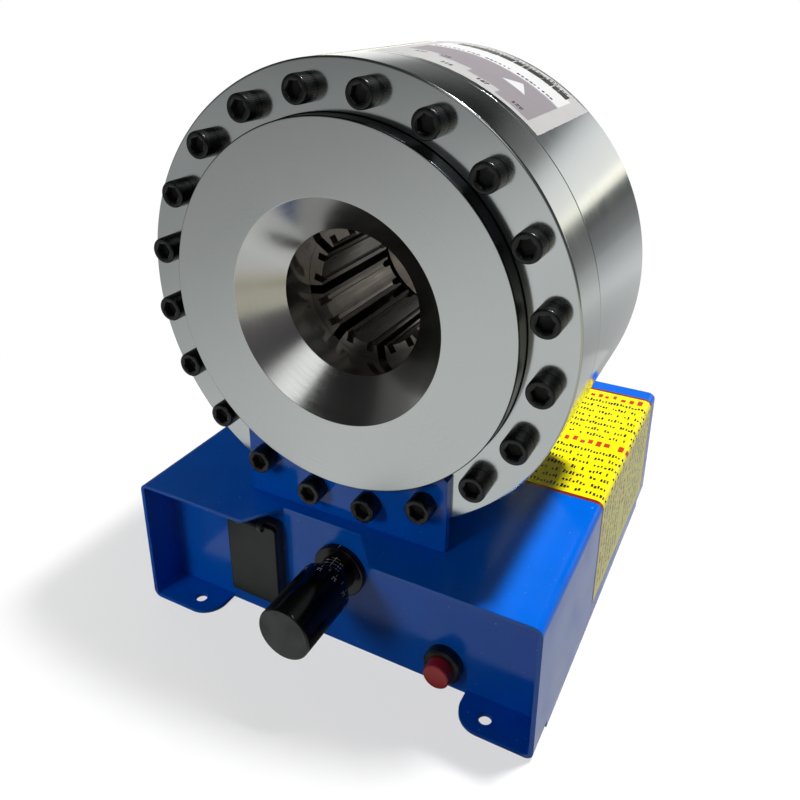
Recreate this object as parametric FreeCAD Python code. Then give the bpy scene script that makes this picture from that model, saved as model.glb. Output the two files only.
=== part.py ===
import FreeCAD
import Part
import math
import os

from FreeCAD import Vector

# Hose crimping machine, in millimetres.
# +Z is up, the mouth faces -Y and the origin is on the floor, at the centre of the four foot holes.
# Depths of the head are counted backwards from the front face of its flange ring.

# Folded base
base_width = 314.0
base_depth = 325.0
base_height = 105.0
base_sheet = 3.0
bend_r = 6.0
panel_sheet = 2.5
recess_depth = 28.0
pan_return = 15.0
foot_hole_r = 4.5
foot_hole_inset_x = 37.0
foot_hole_inset_y = 12.5
foot_tab_reach = 57.0
foot_tab_round = 18.0
notch_front_left = -64.0
notch_back_left = -44.5
notch_back_right = 19.0
notch_front_right = 42.5
notch_land = 2.5

# Head, as turned about its own axis
head_setback = 40.0
head_gap = 2.0
flange_r = 154.0
flange_thick = 38.0
flange_chamfer = 1.5
joint_chamfer = 0.8
flange_ring_wide = 31.5
disc_proud = 13.0
disc_round = 1.2
shoulder_wide = 5.0
shoulder_thick = 20.0
mouth_r = 75.0
throat_r = 50.0
cone_depth = 23.0
body_length = 116.0
cylinder_wall = 30.0
rear_wall = 16.0
rear_cover_inset = 42.0
rear_cover_wide = 28.0
rear_cover_thick = 20.0

# Socket head cap screws: M12 in the flange, M10 in the rear cover
screw_count = 20
screw_inset = 17.0
m12_r = 6.0
m12_head_r = 9.0
m12_head_high = 12.0
m12_socket_across = 10.0
m12_socket_deep = 6.0
m12_grip = 20.0
cover_screw_count = 12
cover_screw_inset = 14.0
m10_r = 5.0
m10_head_r = 8.0
m10_head_high = 10.0
m10_socket_across = 8.0
m10_socket_deep = 5.0
m10_grip = 12.0

# Dies, their keys and the piston that closes them
die_count = 8
die_clock = 9.0
die_open_r = 40.0
die_travel = 7.0
die_arc_r = 36.5
die_length = 93.0
die_gap = 6.4
die_rear_apothem = 66.0
ramp_angle = 15.0
notch_offset = 8.0
notch_wide = 5.0
notch_deep = 5.0
notch_long = 7.0
groove_deep = 1.2
groove_wide = 3.0
key_wide = 12.0
key_in_die = 4.0
key_in_plate = 5.0
key_inner_r = 60.0
key_long = 21.0
piston_front_clear = 2.0
piston_rest_gap = 0.5
tail_wall = 12.0
tail_lip_high = 16.0
tail_lip_long = 17.0
tail_past_cover = 4.0
seal_wide = 8.0
seal_deep = 5.0
seal_spacing = 30.0
seal_from_rear = 10.0

# Support plates
plate_share = 0.5065
rear_plate_narrower = 4.5
plate_thick = 5.0
plate_corner = 6.0
plate_tab_wide = 24.0
plate_tab_x = 45.0

# Setting dial
dial_x = 1.5
dial_z = 68.0
collar_r = 20.0
collar_thick = 5.0
collar_edge = 1.2
sleeve_r = 13.0
sleeve_out = 30.0
sleeve_back = 14.0
rod_r = 5.0
rod_back = 42.0
rod_seat = 6.0
thimble_r = 19.2
thimble_long = 54.0
thimble_bevel = 5.0
thimble_rear_r = 15.4
thimble_edge = 1.4
thimble_floor = 10.0
sleeve_shown = 12.0
dial_nut_across = 36.0
dial_nut_thick = 6.0

# Limit switch behind the dial
limit_gap = 7.0
limit_wide = 10.0
limit_high = 16.0
limit_long = 28.0
bracket_gap = 1.0
bracket_sheet = 2.0
bracket_foot = 24.0

# Red push button
button_x = 83.5
button_z = 21.5
bezel_r = 13.5
bezel_proud = 8.0
bezel_neck_r = 11.0
bezel_back = 16.0
bezel_edge = 1.5
bezel_floor = 3.0
cap_r = 9.4
cap_proud = 16.5
cap_travel = 3.0
cap_edge = 0.8
cap_stem_r = 4.0
cap_rest_gap = 1.0
button_nut_r = 14.0
button_nut_thick = 3.5
contact_side = 24.0
contact_long = 26.0
contact_round = 2.0

# Main switch with its hinged flap
switch_x = -69.5
switch_z = 56.0
switch_wide = 43.0
switch_high = 70.0
frame_proud = 7.0
frame_rim = 3.5
frame_round = 3.0
well_deep = 5.5
switch_body_back = 32.0
switch_body_inset = 3.0
flap_thick = 3.0
flap_gap = 0.3
knuckle_r = 3.2
knuckle_wide = 14.0
knuckle_gap = 0.3
flap_over_pin = 0.8
ear_wide = 4.0
flap_pin_r = 1.1
pad_wide = 22.0
pad_high = 20.0
pad_thick = 2.5
pad_spacing = 27.0
pad_below_middle = 3.0
pad_round = 2.0
pad_travel = 2.0
pad_rest_gap = 0.3
pad_stem_r = 3.0
pad_stem_in = 5.0
pad_hole_deep = 8.0

# Power unit hung below the top sheet, and the cable inlet
tank_wide = 105.0
tank_deep = 120.0
tank_high = 72.0
tank_round = 10.0
block_wide = 60.0
block_deep = 60.0
block_high = 66.0
motor_r = 36.0
motor_long = 96.0
motor_bell_long = 14.0
motor_bell_step = 3.0
motor_pad_thick = 4.0
motor_pad_sink = 0.2
nipple_r = 9.0
nipple_flange_r = 14.0
nipple_flange_thick = 6.0
nipple_in_body = 12.0
oil_hole_r = 4.0
gland_inset = 47.0
gland_z = 50.0
gland_r = 12.0
gland_neck_r = 8.0
gland_out = 16.0
gland_nut_thick = 6.0
gland_neck_past = 2.0
gland_cable_r = 4.5
vent_count = 7
vent_wide = 4.0
vent_high = 50.0
vent_pitch = 12.0
vent_x = 40.0

# Clearances
slide_clear = 0.1
turn_clear = 0.1
ramp_clear = 0.12
seat_clear = 0.1
bolt_clear = 0.5
thread_clear = 0.05
key_clear = 0.15
hole_clear = 0.3
plate_clear = 0.8

# Places worked out from the sizes above
base_front = -base_depth / 2
panel_front = base_front + recess_depth
head_front = base_front + head_setback
head_z = base_height + head_gap + flange_r
disc_r = flange_r - flange_ring_wide
shoulder_r = disc_r + shoulder_wide
screw_circle_r = flange_r - screw_inset
cylinder_bore_r = flange_r - cylinder_wall
rear_cover_r = flange_r - rear_cover_inset
cover_screw_circle_r = rear_cover_r - cover_screw_inset
tail_r = rear_cover_r - rear_cover_wide
tail_bore_r = tail_r - tail_wall
plate_half_width = flange_r * plate_share
die_front = flange_thick + slide_clear
die_rear = die_front + die_length
stroke = die_travel / math.tan(math.radians(ramp_angle))
ramp_slope = math.tan(math.radians(ramp_angle))
body_rear = flange_thick + body_length
body_floor = body_rear - rear_wall
piston_front = flange_thick + stroke + piston_front_clear
piston_rear = body_floor - piston_rest_gap
tail_end = body_rear + rear_cover_thick + tail_past_cover
tail_lip = tail_end - tail_lip_long
top_under = base_height - base_sheet
oil_y = head_front + body_floor - nipple_r
gland_x = gland_inset - base_width / 2
X = Vector(1, 0, 0)
Y = Vector(0, 1, 0)
Z = Vector(0, 0, 1)


def box(x0, x1, y0, y1, z0, z1):
    return Part.makeBox(x1 - x0, y1 - y0, z1 - z0, Vector(x0, y0, z0))


def rod(r, start, end, x, z):
    """Cylinder along Y between two y places."""
    return Part.makeCylinder(r, end - start, Vector(x, start, z), Y)


def tube(outer, inner, start, end, x, z):
    """Ring along Y between two y places."""
    return rod(outer, start, end, x, z).cut(rod(inner, start - 1, end + 1, x, z))


def turned(profile, x, z, front):
    """Solid of revolution about a Y axis; the profile holds (radius, depth behind front) points."""
    points = [Vector(x + r, front + d, z) for r, d in profile]
    face = Part.Face(Part.makePolygon(points + points[:1]))
    return face.revolve(Vector(x, 0, z), Y, 360)


def head_turned(profile):
    return turned(profile, 0, head_z, head_front)


def prism(points, y0, y1):
    """Extrude an outline of (x, z) points along Y."""
    corners = [Vector(x, y0, z) for x, z in points]
    return Part.Face(Part.makePolygon(corners + corners[:1])).extrude(Vector(0, y1 - y0, 0))


def rounded(x0, x1, z0, z1, r, y0, y1, corners="all"):
    """Rectangle in the XZ plane, extruded along Y, with its edges along Y rounded."""
    solid = box(x0, x1, y0, y1, z0, z1)
    edges = []
    for edge in solid.Edges:
        a, b = edge.Vertexes[0].Point, edge.Vertexes[1].Point
        along_y = abs(a.x - b.x) < 1e-6 and abs(a.z - b.z) < 1e-6
        if along_y and (corners == "all" or a.z > (z0 + z1) / 2):
            edges.append(edge)
    return solid.makeFillet(r, edges)


def around(count, clock):
    """Angles, in degrees, of an even pattern about the head axis, from a first one."""
    return [clock + 360.0 * k / count for k in range(count)]


def on_circle(r, angle):
    a = math.radians(angle)
    return r * math.cos(a), head_z + r * math.sin(a)


def turn_to(shape, angle):
    """Turn a shape made on the +Z side of the head axis, so that it points along the angle from +X."""
    copy = shape.copy()
    copy.rotate(Vector(0, 0, head_z), Y, 90.0 - angle)
    return copy


def cap_screw(x, z, seat, size):
    """Socket head cap screw whose shank points to +Y; seat is the y of the face below its head."""
    r, head_r, head_high, across, socket_deep, shank_end = size
    head = rod(head_r, seat - head_high, seat, x, z)
    rim = [e for e in head.Edges if e.Closed and abs(e.CenterOfMass.y - (seat - head_high)) < 1e-6]
    head = head.makeChamfer(head_r * 0.1, rim)
    corner = across / 2 / math.cos(math.radians(30))
    hexagon = [(x + corner * math.cos(math.radians(60 * k)), z + corner * math.sin(math.radians(60 * k)))
               for k in range(6)]
    socket = prism(hexagon, seat - head_high - 1, seat - head_high + socket_deep)
    return head.cut(socket).fuse(rod(r, seat - 1, shank_end, x, z)).removeSplitter()


def save(name, shape):
    solids = shape.Solids
    if not solids or not shape.isValid():
        raise ValueError(name + " is not a valid solid")
    whole = Part.makeCompound(solids) if len(solids) > 1 else solids[0]
    whole.exportStep(os.path.join("parts", name + ".step"))


# Base

def foot_corners():
    x = base_width / 2 - foot_hole_inset_x
    y = base_depth / 2 - foot_hole_inset_y
    return [(sx * x, sy * y) for sx in (-1, 1) for sy in (-1, 1)]


def channel_shell(y0, y1, with_floor):
    """Folded sheet between two y places: top and two walls, with a floor where the foot tabs are."""
    half = base_width / 2
    inner_r = bend_r - base_sheet
    corners = "all" if with_floor else "top"
    outer = rounded(-half, half, 0, base_height, bend_r, y0, y1, corners)
    floor = base_sheet if with_floor else -1.0
    inner = rounded(-half + base_sheet, half - base_sheet, floor, top_under, inner_r, y0 - 1, y1 + 1, corners)
    return outer.cut(inner)


def foot_tab_cut(side, end):
    """What is taken off the floor of an end to leave one tab with a rounded free corner."""
    free = side * (base_width / 2 - foot_tab_reach)
    edge = end * base_depth / 2
    inner = end * (base_depth / 2 - recess_depth)
    x0, x1 = sorted((0.0, free))
    strip = box(x0, x1, min(edge, inner) - 1, max(edge, inner) + 1, -1, base_sheet + 0.01)
    cx = free + side * foot_tab_round
    cy = edge - end * foot_tab_round
    block = box(min(free, cx), max(free, cx), min(edge, cy), max(edge, cy), -1, base_sheet + 0.01)
    keep = Part.makeCylinder(foot_tab_round, base_sheet + 3, Vector(cx, cy, -2))
    return strip.fuse(block.cut(keep))


def base_channel():
    front_end = panel_front
    rear_end = -panel_front
    shell = channel_shell(front_end, rear_end, False)
    for y0, y1 in ((base_front, front_end), (rear_end, -base_front)):
        shell = shell.fuse(channel_shell(y0, y1, True))
    cuts = [foot_tab_cut(side, end) for side in (-1, 1) for end in (-1, 1)]
    for x, y in foot_corners():
        cuts.append(Part.makeCylinder(foot_hole_r, base_sheet + 2, Vector(x, y, -1)))
    notch_back = panel_front - notch_land
    outline = [(notch_front_left, base_front - 1), (notch_back_left, notch_back),
               (notch_back_right, notch_back), (notch_front_right, base_front - 1)]
    corners = [Vector(x, y, top_under - 1) for x, y in outline]
    notch = Part.Face(Part.makePolygon(corners + corners[:1])).extrude(Vector(0, 0, base_sheet + 2))
    cuts.append(notch)
    for y0 in plate_places():
        for x in (-plate_tab_x, plate_tab_x):
            half = plate_tab_wide / 2 + seat_clear
            cuts.append(box(x - half, x + half, y0 - seat_clear, y0 + plate_thick + seat_clear,
                            top_under - 1, base_height + 1))
    cuts.append(Part.makeCylinder(nipple_r + hole_clear, base_sheet + 2, Vector(0, oil_y, top_under - 1)))
    for cut in cuts:
        shell = shell.cut(cut)
    return shell.removeSplitter()


def pan():
    """Pan-shaped panel that closes the channel: its face is at the front and its rim turns backwards."""
    half = base_width / 2 - base_sheet
    y1 = panel_front + pan_return
    outer = rounded(-half, half, 0, top_under, bend_r, panel_front, y1, "top")
    inner = rounded(-half + panel_sheet, half - panel_sheet, panel_sheet, top_under - panel_sheet,
                    bend_r - panel_sheet, panel_front + panel_sheet, y1 + 1, "top")
    return outer.cut(inner)


def front_panel():
    y0, y1 = panel_front - 1, panel_front + panel_sheet + 1
    panel = pan().cut(rod(sleeve_r + hole_clear, y0, y1, dial_x, dial_z))
    panel = panel.cut(rod(bezel_neck_r + hole_clear, y0, y1, button_x, button_z))
    half_wide = switch_wide / 2 - switch_body_inset + hole_clear
    half_high = switch_high / 2 - switch_body_inset + hole_clear
    return panel.cut(box(switch_x - half_wide, switch_x + half_wide, y0, y1,
                         switch_z - half_high, switch_z + half_high))


def rear_panel():
    panel = pan()
    panel.rotate(Vector(0, 0, 0), Z, 180)
    y0, y1 = -panel_front - panel_sheet - 1, -panel_front + 1
    panel = panel.cut(rod(gland_neck_r + hole_clear, y0, y1, gland_x, gland_z))
    first = vent_x - (vent_count - 1) * vent_pitch / 2
    for k in range(vent_count):
        x = first + k * vent_pitch
        slot = rounded(x - vent_wide / 2, x + vent_wide / 2, gland_z - vent_high / 2, gland_z + vent_high / 2,
                       vent_wide / 2 - 0.01, y0, y1)
        panel = panel.cut(slot)
    return panel


def plate_places():
    """y of the front face of the front and the rear support plate."""
    return head_front - plate_thick, head_front + body_rear


def plate_screw_angles():
    """The flange screws that hold the front plate: the ones inside its width, below the axis."""
    found = []
    for angle in flange_screw_angles():
        x, z = on_circle(screw_circle_r, angle)
        if z < head_z and abs(x) < plate_half_width - m12_head_r:
            found.append(angle)
    return found


def support_plate(y0, clear_r, half_width):
    """Upright plate on the top sheet, hollowed round the part of the head that stands proud of it."""
    top = head_z - clear_r * math.cos(math.asin(half_width / clear_r))
    w, c = half_width, plate_corner
    outline = [(-w, base_height), (w, base_height), (w, top - c), (w - c, top), (-w + c, top), (-w, top - c)]
    plate = prism(outline, y0, y0 + plate_thick)
    plate = plate.cut(rod(clear_r, y0 - 1, y0 + plate_thick + 1, 0, head_z))
    for x in (-plate_tab_x, plate_tab_x):
        plate = plate.fuse(box(x - plate_tab_wide / 2, x + plate_tab_wide / 2, y0, y0 + plate_thick,
                               top_under, base_height))
    for angle in plate_screw_angles():
        x, z = on_circle(screw_circle_r, angle)
        plate = plate.cut(rod(m12_r + bolt_clear, y0 - 1, y0 + plate_thick + 1, x, z))
    return plate.removeSplitter()


# Head

def flange_screw_angles():
    """Two screws straddle the top."""
    return around(screw_count, 90.0 + 180.0 / screw_count)


def front_flange():
    inner = disc_r + seat_clear
    step = flange_thick - shoulder_thick
    c, j = flange_chamfer, joint_chamfer
    ring = head_turned([(inner, 0), (flange_r - c, 0), (flange_r, c), (flange_r, flange_thick - j),
                        (flange_r - j, flange_thick), (shoulder_r + seat_clear, flange_thick),
                        (shoulder_r + seat_clear, step), (inner, step)])
    for angle in flange_screw_angles():
        x, z = on_circle(screw_circle_r, angle)
        ring = ring.cut(rod(m12_r + bolt_clear, head_front - 1, head_front + flange_thick + 1, x, z))
    return ring


def die_angles():
    return around(die_count, die_clock + 180.0 / die_count)


def mouth_plate():
    step = flange_thick - shoulder_thick
    e = disc_round
    plate = head_turned([(mouth_r, -disc_proud), (disc_r - e, -disc_proud), (disc_r, e - disc_proud),
                         (disc_r, step), (shoulder_r, step), (shoulder_r, flange_thick),
                         (throat_r, flange_thick), (throat_r, cone_depth - disc_proud)])
    low = key_inner_r - die_travel - key_clear - 1
    high = key_inner_r + key_long + key_clear + 1
    half = key_wide / 2 + key_clear
    y1 = head_front + flange_thick
    slot = box(-half, half, y1 - key_in_plate - key_clear, y1 + 1, head_z + low, head_z + high)
    for angle in die_angles():
        plate = plate.cut(turn_to(slot, angle))
    return plate


def cylinder_body():
    j, c = joint_chamfer, flange_chamfer
    hole = tail_r + slide_clear
    body = head_turned([(cylinder_bore_r, flange_thick), (flange_r - j, flange_thick),
                        (flange_r, flange_thick + j), (flange_r, body_rear - c), (flange_r - c, body_rear),
                        (hole, body_rear), (hole, body_floor), (cylinder_bore_r, body_floor)])
    front, rear = head_front + flange_thick, head_front + body_rear
    for angle in flange_screw_angles():
        x, z = on_circle(screw_circle_r, angle)
        body = body.cut(rod(m12_r + thread_clear, front - 1, front + m12_grip + 1, x, z))
    for angle in plate_screw_angles():
        x, z = on_circle(screw_circle_r, angle)
        body = body.cut(rod(m12_r + thread_clear, rear - m12_grip - 1, rear + 1, x, z))
    for angle in around(cover_screw_count, 0.0):
        x, z = on_circle(cover_screw_circle_r, angle)
        body = body.cut(rod(m10_r + thread_clear, rear - m10_grip - 1, rear + 1, x, z))
    low = head_z - flange_r
    body = body.cut(Part.makeCylinder(nipple_r + thread_clear, nipple_in_body + 2, Vector(0, oil_y, low - 2)))
    return body.cut(Part.makeCylinder(oil_hole_r, flange_r - cylinder_bore_r + 2, Vector(0, oil_y, low - 1)))


def flange_screws():
    screws = []
    on_plate = plate_screw_angles()
    for angle in flange_screw_angles():
        x, z = on_circle(screw_circle_r, angle)
        seat = head_front - (plate_thick if angle in on_plate else 0.0)
        end = head_front + flange_thick + m12_grip
        screws.append(cap_screw(x, z, seat, (m12_r, m12_head_r, m12_head_high, m12_socket_across,
                                             m12_socket_deep, end)))
    return Part.makeCompound(screws)


def from_behind(screw, seat):
    """Turn a screw end for end about the y of its seat, so that it is driven in from the back."""
    screw.rotate(Vector(0, seat, head_z), Z, 180)
    return screw


def rear_plate_screws():
    seat = head_front + body_rear + plate_thick
    size = (m12_r, m12_head_r, m12_head_high, m12_socket_across, m12_socket_deep,
            seat + plate_thick + m12_grip)
    places = [on_circle(screw_circle_r, angle) for angle in plate_screw_angles()]
    return Part.makeCompound([from_behind(cap_screw(x, z, seat, size), seat) for x, z in places])


def rear_cover():
    hole = tail_r + slide_clear
    c = flange_chamfer
    end = body_rear + rear_cover_thick
    cover = head_turned([(hole, body_rear), (rear_cover_r, body_rear), (rear_cover_r, end - c),
                         (rear_cover_r - c, end), (hole, end)])
    for angle in around(cover_screw_count, 0.0):
        x, z = on_circle(cover_screw_circle_r, angle)
        y0 = head_front + body_rear
        cover = cover.cut(rod(m10_r + bolt_clear, y0 - 1, y0 + rear_cover_thick + 1, x, z))
    return cover


def rear_cover_screws():
    seat = head_front + body_rear + rear_cover_thick
    size = (m10_r, m10_head_r, m10_head_high, m10_socket_across, m10_socket_deep,
            seat + rear_cover_thick + m10_grip)
    places = [on_circle(cover_screw_circle_r, a) for a in around(cover_screw_count, 0.0)]
    return Part.makeCompound([from_behind(cap_screw(x, z, seat, size), seat) for x, z in places])


# Piston and dies

def ramp_apothem(depth):
    """Distance from the head axis to the flat backs of the open dies at a depth."""
    return die_rear_apothem + (die_rear - depth) * ramp_slope


def octagon(depth, apothem):
    """Closed wire with one flat towards each die."""
    r = apothem / math.cos(math.pi / die_count)
    y = head_front + depth
    points = []
    for angle in around(die_count, die_clock):
        x, z = on_circle(r, angle)
        points.append(Vector(x, y, z))
    return Part.makePolygon(points + points[:1])


def seal_depths():
    last = piston_rear - seal_from_rear - seal_wide
    return [last, last - seal_spacing]


def piston():
    r = cylinder_bore_r - slide_clear
    body = head_turned([(0, piston_front), (r - 1, piston_front), (r, piston_front + 1), (r, piston_rear - 1),
                        (r - 1, piston_rear), (tail_r, piston_rear), (tail_r, tail_end), (0, tail_end)])
    gap = ramp_clear / math.cos(math.radians(ramp_angle))
    ends = [piston_front - 1, piston_rear]
    ramp = Part.makeLoft([octagon(d, ramp_apothem(d) + gap) for d in ends], True, True)
    body = body.cut(ramp)
    body = body.cut(rod(tail_bore_r, head_front + piston_rear - 1, head_front + tail_lip, 0, head_z))
    lip_r = tail_bore_r - tail_lip_high
    body = body.cut(rod(lip_r, head_front + tail_lip - 1, head_front + tail_end + 1, 0, head_z))
    for depth in seal_depths():
        y0 = head_front + depth
        body = body.cut(tube(r + 1, r - seal_deep, y0, y0 + seal_wide, 0, head_z))
    return body


def piston_seals():
    r = cylinder_bore_r - slide_clear / 2
    inner = cylinder_bore_r - slide_clear - seal_deep + thread_clear
    rings = []
    for depth in seal_depths():
        y0 = head_front + depth + thread_clear
        rings.append(tube(r, inner, y0, y0 + seal_wide - 2 * thread_clear, 0, head_z))
    return Part.makeCompound(rings)


def die():
    """One die on the +Z side of the head axis, in its open place."""
    half_angle = math.pi / die_count
    front_apothem = ramp_apothem(die_front)
    y0, y1 = head_front + die_front, head_front + die_rear
    side_shift = die_gap / 2 / math.cos(half_angle)
    low = die_gap / 2 / math.sin(half_angle)
    top_half = front_apothem * math.tan(half_angle) - side_shift
    wedge = prism([(0, head_z + low), (top_half, head_z + front_apothem),
                   (-top_half, head_z + front_apothem)], y0, y1)
    wedge = wedge.cut(rod(die_arc_r, y0 - 1, y1 + 1, 0, head_z + die_open_r - die_arc_r))
    rear_apothem = ramp_apothem(die_rear)
    high = head_z + front_apothem + 1
    side = -top_half - 1
    slope = [Vector(side, y0, head_z + front_apothem), Vector(side, y1, head_z + rear_apothem),
             Vector(side, y1 + 1, high), Vector(side, y0, high)]
    back = Part.Face(Part.makePolygon(slope + slope[:1])).extrude(Vector(2 * top_half + 2, 0, 0))
    wedge = wedge.cut(back)
    bore = head_z + die_open_r
    for x in (-notch_offset, notch_offset):
        wedge = wedge.cut(box(x - groove_wide / 2, x + groove_wide / 2, y0 - 1, y1 + 1,
                              head_z, bore + groove_deep))
        for a, b in ((y0 - 1, y0 + notch_long), (y1 - notch_long, y1 + 1)):
            wedge = wedge.cut(box(x - notch_wide / 2, x + notch_wide / 2, a, b, head_z, bore + notch_deep))
    half = key_wide / 2 + thread_clear
    slot = box(-half, half, y0 - 1, y0 + key_in_die + thread_clear, head_z + key_inner_r - thread_clear,
               head_z + key_inner_r + key_long + thread_clear)
    return wedge.cut(slot)


def die_key():
    y0 = head_front + die_front
    front = head_front + flange_thick - key_in_plate
    key = box(-key_wide / 2, key_wide / 2, front, y0 + key_in_die,
              head_z + key_inner_r, head_z + key_inner_r + key_long)
    return key


# Setting dial

def dial_collar():
    e = collar_edge
    profile = [(sleeve_r + thread_clear, -collar_thick), (collar_r - e, -collar_thick),
               (collar_r, e - collar_thick), (collar_r, 0), (sleeve_r + thread_clear, 0)]
    return turned(profile, dial_x, dial_z, panel_front)


def dial_sleeve():
    return tube(sleeve_r, rod_r + slide_clear, panel_front - sleeve_out, panel_front + sleeve_back,
                dial_x, dial_z)


def dial_nut():
    corner = dial_nut_across / 2 / math.cos(math.radians(30))
    turns = [math.radians(60 * k) for k in range(6)]
    outline = [(dial_x + corner * math.cos(a), dial_z + corner * math.sin(a)) for a in turns]
    y0 = panel_front + panel_sheet
    nut = prism(outline, y0, y0 + dial_nut_thick)
    return nut.cut(rod(sleeve_r + thread_clear, y0 - 1, y0 + dial_nut_thick + 1, dial_x, dial_z))


def thimble_rear():
    """y of the bevelled edge of the thimble, in front of the part of the sleeve that shows."""
    return panel_front - collar_thick - sleeve_shown


def dial_rod():
    end = thimble_rear() - thimble_long + thimble_floor
    return rod(rod_r, end - rod_seat, panel_front + rod_back, dial_x, dial_z)


def dial_thimble():
    rear = thimble_rear()
    e = thimble_edge
    wall = sleeve_r + hole_clear
    floor = thimble_floor - thimble_long
    pocket = floor - rod_seat - slide_clear
    profile = [(0, -thimble_long), (thimble_r - e, -thimble_long), (thimble_r, e - thimble_long),
               (thimble_r, -thimble_bevel), (thimble_rear_r, 0), (wall, 0), (wall, floor),
               (rod_r + turn_clear, floor), (rod_r + turn_clear, pocket), (0, pocket)]
    return turned(profile, dial_x, dial_z, rear)


def limit_place():
    """y of the front face of the limit switch, behind the end of the rod."""
    return panel_front + rod_back + limit_gap


def switch_bracket():
    """Angle bracket on the back of the front panel, with a long arm beside the rod."""
    y0 = panel_front + panel_sheet
    x0 = dial_x + dial_nut_across / 2 / math.cos(math.radians(30)) + bracket_gap
    low, high = dial_z - limit_high / 2, dial_z + limit_high / 2
    foot = box(x0, x0 + bracket_foot, y0, y0 + bracket_sheet, low, high)
    arm = box(x0, x0 + bracket_sheet, y0, limit_place() + limit_long, low, high)
    shelf = box(dial_x - limit_wide / 2, x0 + bracket_sheet, limit_place(), limit_place() + limit_long,
                low - bracket_sheet, low)
    return foot.fuse(arm).fuse(shelf).removeSplitter()


def limit_switch():
    low = dial_z - limit_high / 2
    return box(dial_x - limit_wide / 2, dial_x + limit_wide / 2, limit_place(), limit_place() + limit_long,
               low, low + limit_high)


# Red push button

def button_bezel():
    e = bezel_edge
    back = bezel_back
    floor = bezel_back - bezel_floor
    profile = [(cap_r + slide_clear, -bezel_proud), (bezel_r - e, -bezel_proud), (bezel_r, e - bezel_proud),
               (bezel_r, 0), (bezel_neck_r, 0), (bezel_neck_r, back), (cap_stem_r + slide_clear, back),
               (cap_stem_r + slide_clear, floor), (cap_r + slide_clear, floor)]
    return turned(profile, button_x, button_z, panel_front)


def button_cap():
    e = cap_edge
    base = bezel_back - bezel_floor - cap_travel - cap_rest_gap
    profile = [(0, -cap_proud), (cap_r - e, -cap_proud), (cap_r, e - cap_proud), (cap_r, base),
               (cap_stem_r, base), (cap_stem_r, bezel_back), (0, bezel_back)]
    return turned(profile, button_x, button_z, panel_front)


def button_nut():
    y0 = panel_front + panel_sheet
    return tube(button_nut_r, bezel_neck_r + thread_clear, y0, y0 + button_nut_thick, button_x, button_z)


def button_contact():
    """Contact block behind the button, hollowed for the travel of the stem."""
    y0 = panel_front + bezel_back
    half = contact_side / 2
    block = rounded(button_x - half, button_x + half, button_z - half, button_z + half, contact_round,
                    y0, y0 + contact_long)
    return block.cut(rod(cap_stem_r + hole_clear, y0 - 1, y0 + cap_travel + 1, button_x, button_z))


# Main switch

def switch_edges():
    return (switch_x - switch_wide / 2, switch_x + switch_wide / 2,
            switch_z - switch_high / 2, switch_z + switch_high / 2)


def knuckle_axis():
    """y and z of the hinge pin at the top of the flap."""
    top = switch_edges()[3]
    return panel_front - frame_proud - flap_gap - flap_thick, top - knuckle_r


def pad_places():
    middle = switch_z - pad_below_middle
    return middle - pad_spacing / 2, middle + pad_spacing / 2


def switch_frame():
    x0, x1, z0, z1 = switch_edges()
    front = panel_front - frame_proud
    frame = rounded(x0, x1, z0, z1, frame_round, front, panel_front)
    i = switch_body_inset
    frame = frame.fuse(box(x0 + i, x1 - i, panel_front, panel_front + switch_body_back, z0 + i, z1 - i))
    r = frame_rim
    frame = frame.cut(box(x0 + r, x1 - r, front - 1, front + well_deep, z0 + r, z1 - 2 * knuckle_r - r))
    floor = front + well_deep
    for z in pad_places():
        frame = frame.cut(rod(pad_stem_r + slide_clear, floor - 1, floor + pad_hole_deep, switch_x, z))
    pin_y, pin_z = knuckle_axis()
    for side in (-1, 1):
        a = switch_x + side * (knuckle_wide / 2 + knuckle_gap)
        b = a + side * ear_wide
        ear = box(min(a, b), max(a, b), pin_y, front, pin_z - knuckle_r, pin_z + knuckle_r)
        barrel = Part.makeCylinder(knuckle_r, ear_wide, Vector(min(a, b), pin_y, pin_z), X)
        frame = frame.fuse(ear).fuse(barrel)
    length = knuckle_wide + 2 * (knuckle_gap + ear_wide)
    start = Vector(switch_x - length / 2, pin_y, pin_z)
    return frame.cut(Part.makeCylinder(flap_pin_r + thread_clear, length, start, X)).removeSplitter()


def switch_flap():
    """Flat flap that ends just above its pin and is cut back round the ears beside its one knuckle."""
    x0, x1, z0, z1 = switch_edges()
    pin_y, pin_z = knuckle_axis()
    back = panel_front - frame_proud - flap_gap
    flap = rounded(x0, x1, z0, pin_z + flap_over_pin, frame_round, back - flap_thick, back)
    barrel_room = knuckle_r + hole_clear
    wide = knuckle_wide / 2 + knuckle_gap + ear_wide + hole_clear
    flap = flap.cut(box(switch_x - wide, switch_x + wide, back - flap_thick - 1, back + 1,
                        pin_z - barrel_room, z1 + 1))
    half = knuckle_wide / 2
    knuckle = Part.makeCylinder(knuckle_r, knuckle_wide, Vector(switch_x - half, pin_y, pin_z), X)
    strap = box(switch_x - half, switch_x + half, back - flap_thick, back, pin_z - barrel_room - 1, pin_z)
    flap = flap.fuse(knuckle).fuse(strap)
    room = box(switch_x - half - 1, switch_x + half + 1, back, back + 4, pin_z - 2 * knuckle_r, z1 + 1)
    flap = flap.cut(room)
    start = Vector(switch_x - half - 1, pin_y, pin_z)
    return flap.cut(Part.makeCylinder(flap_pin_r + turn_clear, knuckle_wide + 2, start, X)).removeSplitter()


def flap_pin():
    pin_y, pin_z = knuckle_axis()
    length = knuckle_wide + 2 * (knuckle_gap + ear_wide)
    return Part.makeCylinder(flap_pin_r, length, Vector(switch_x - length / 2, pin_y, pin_z), X)


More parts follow.
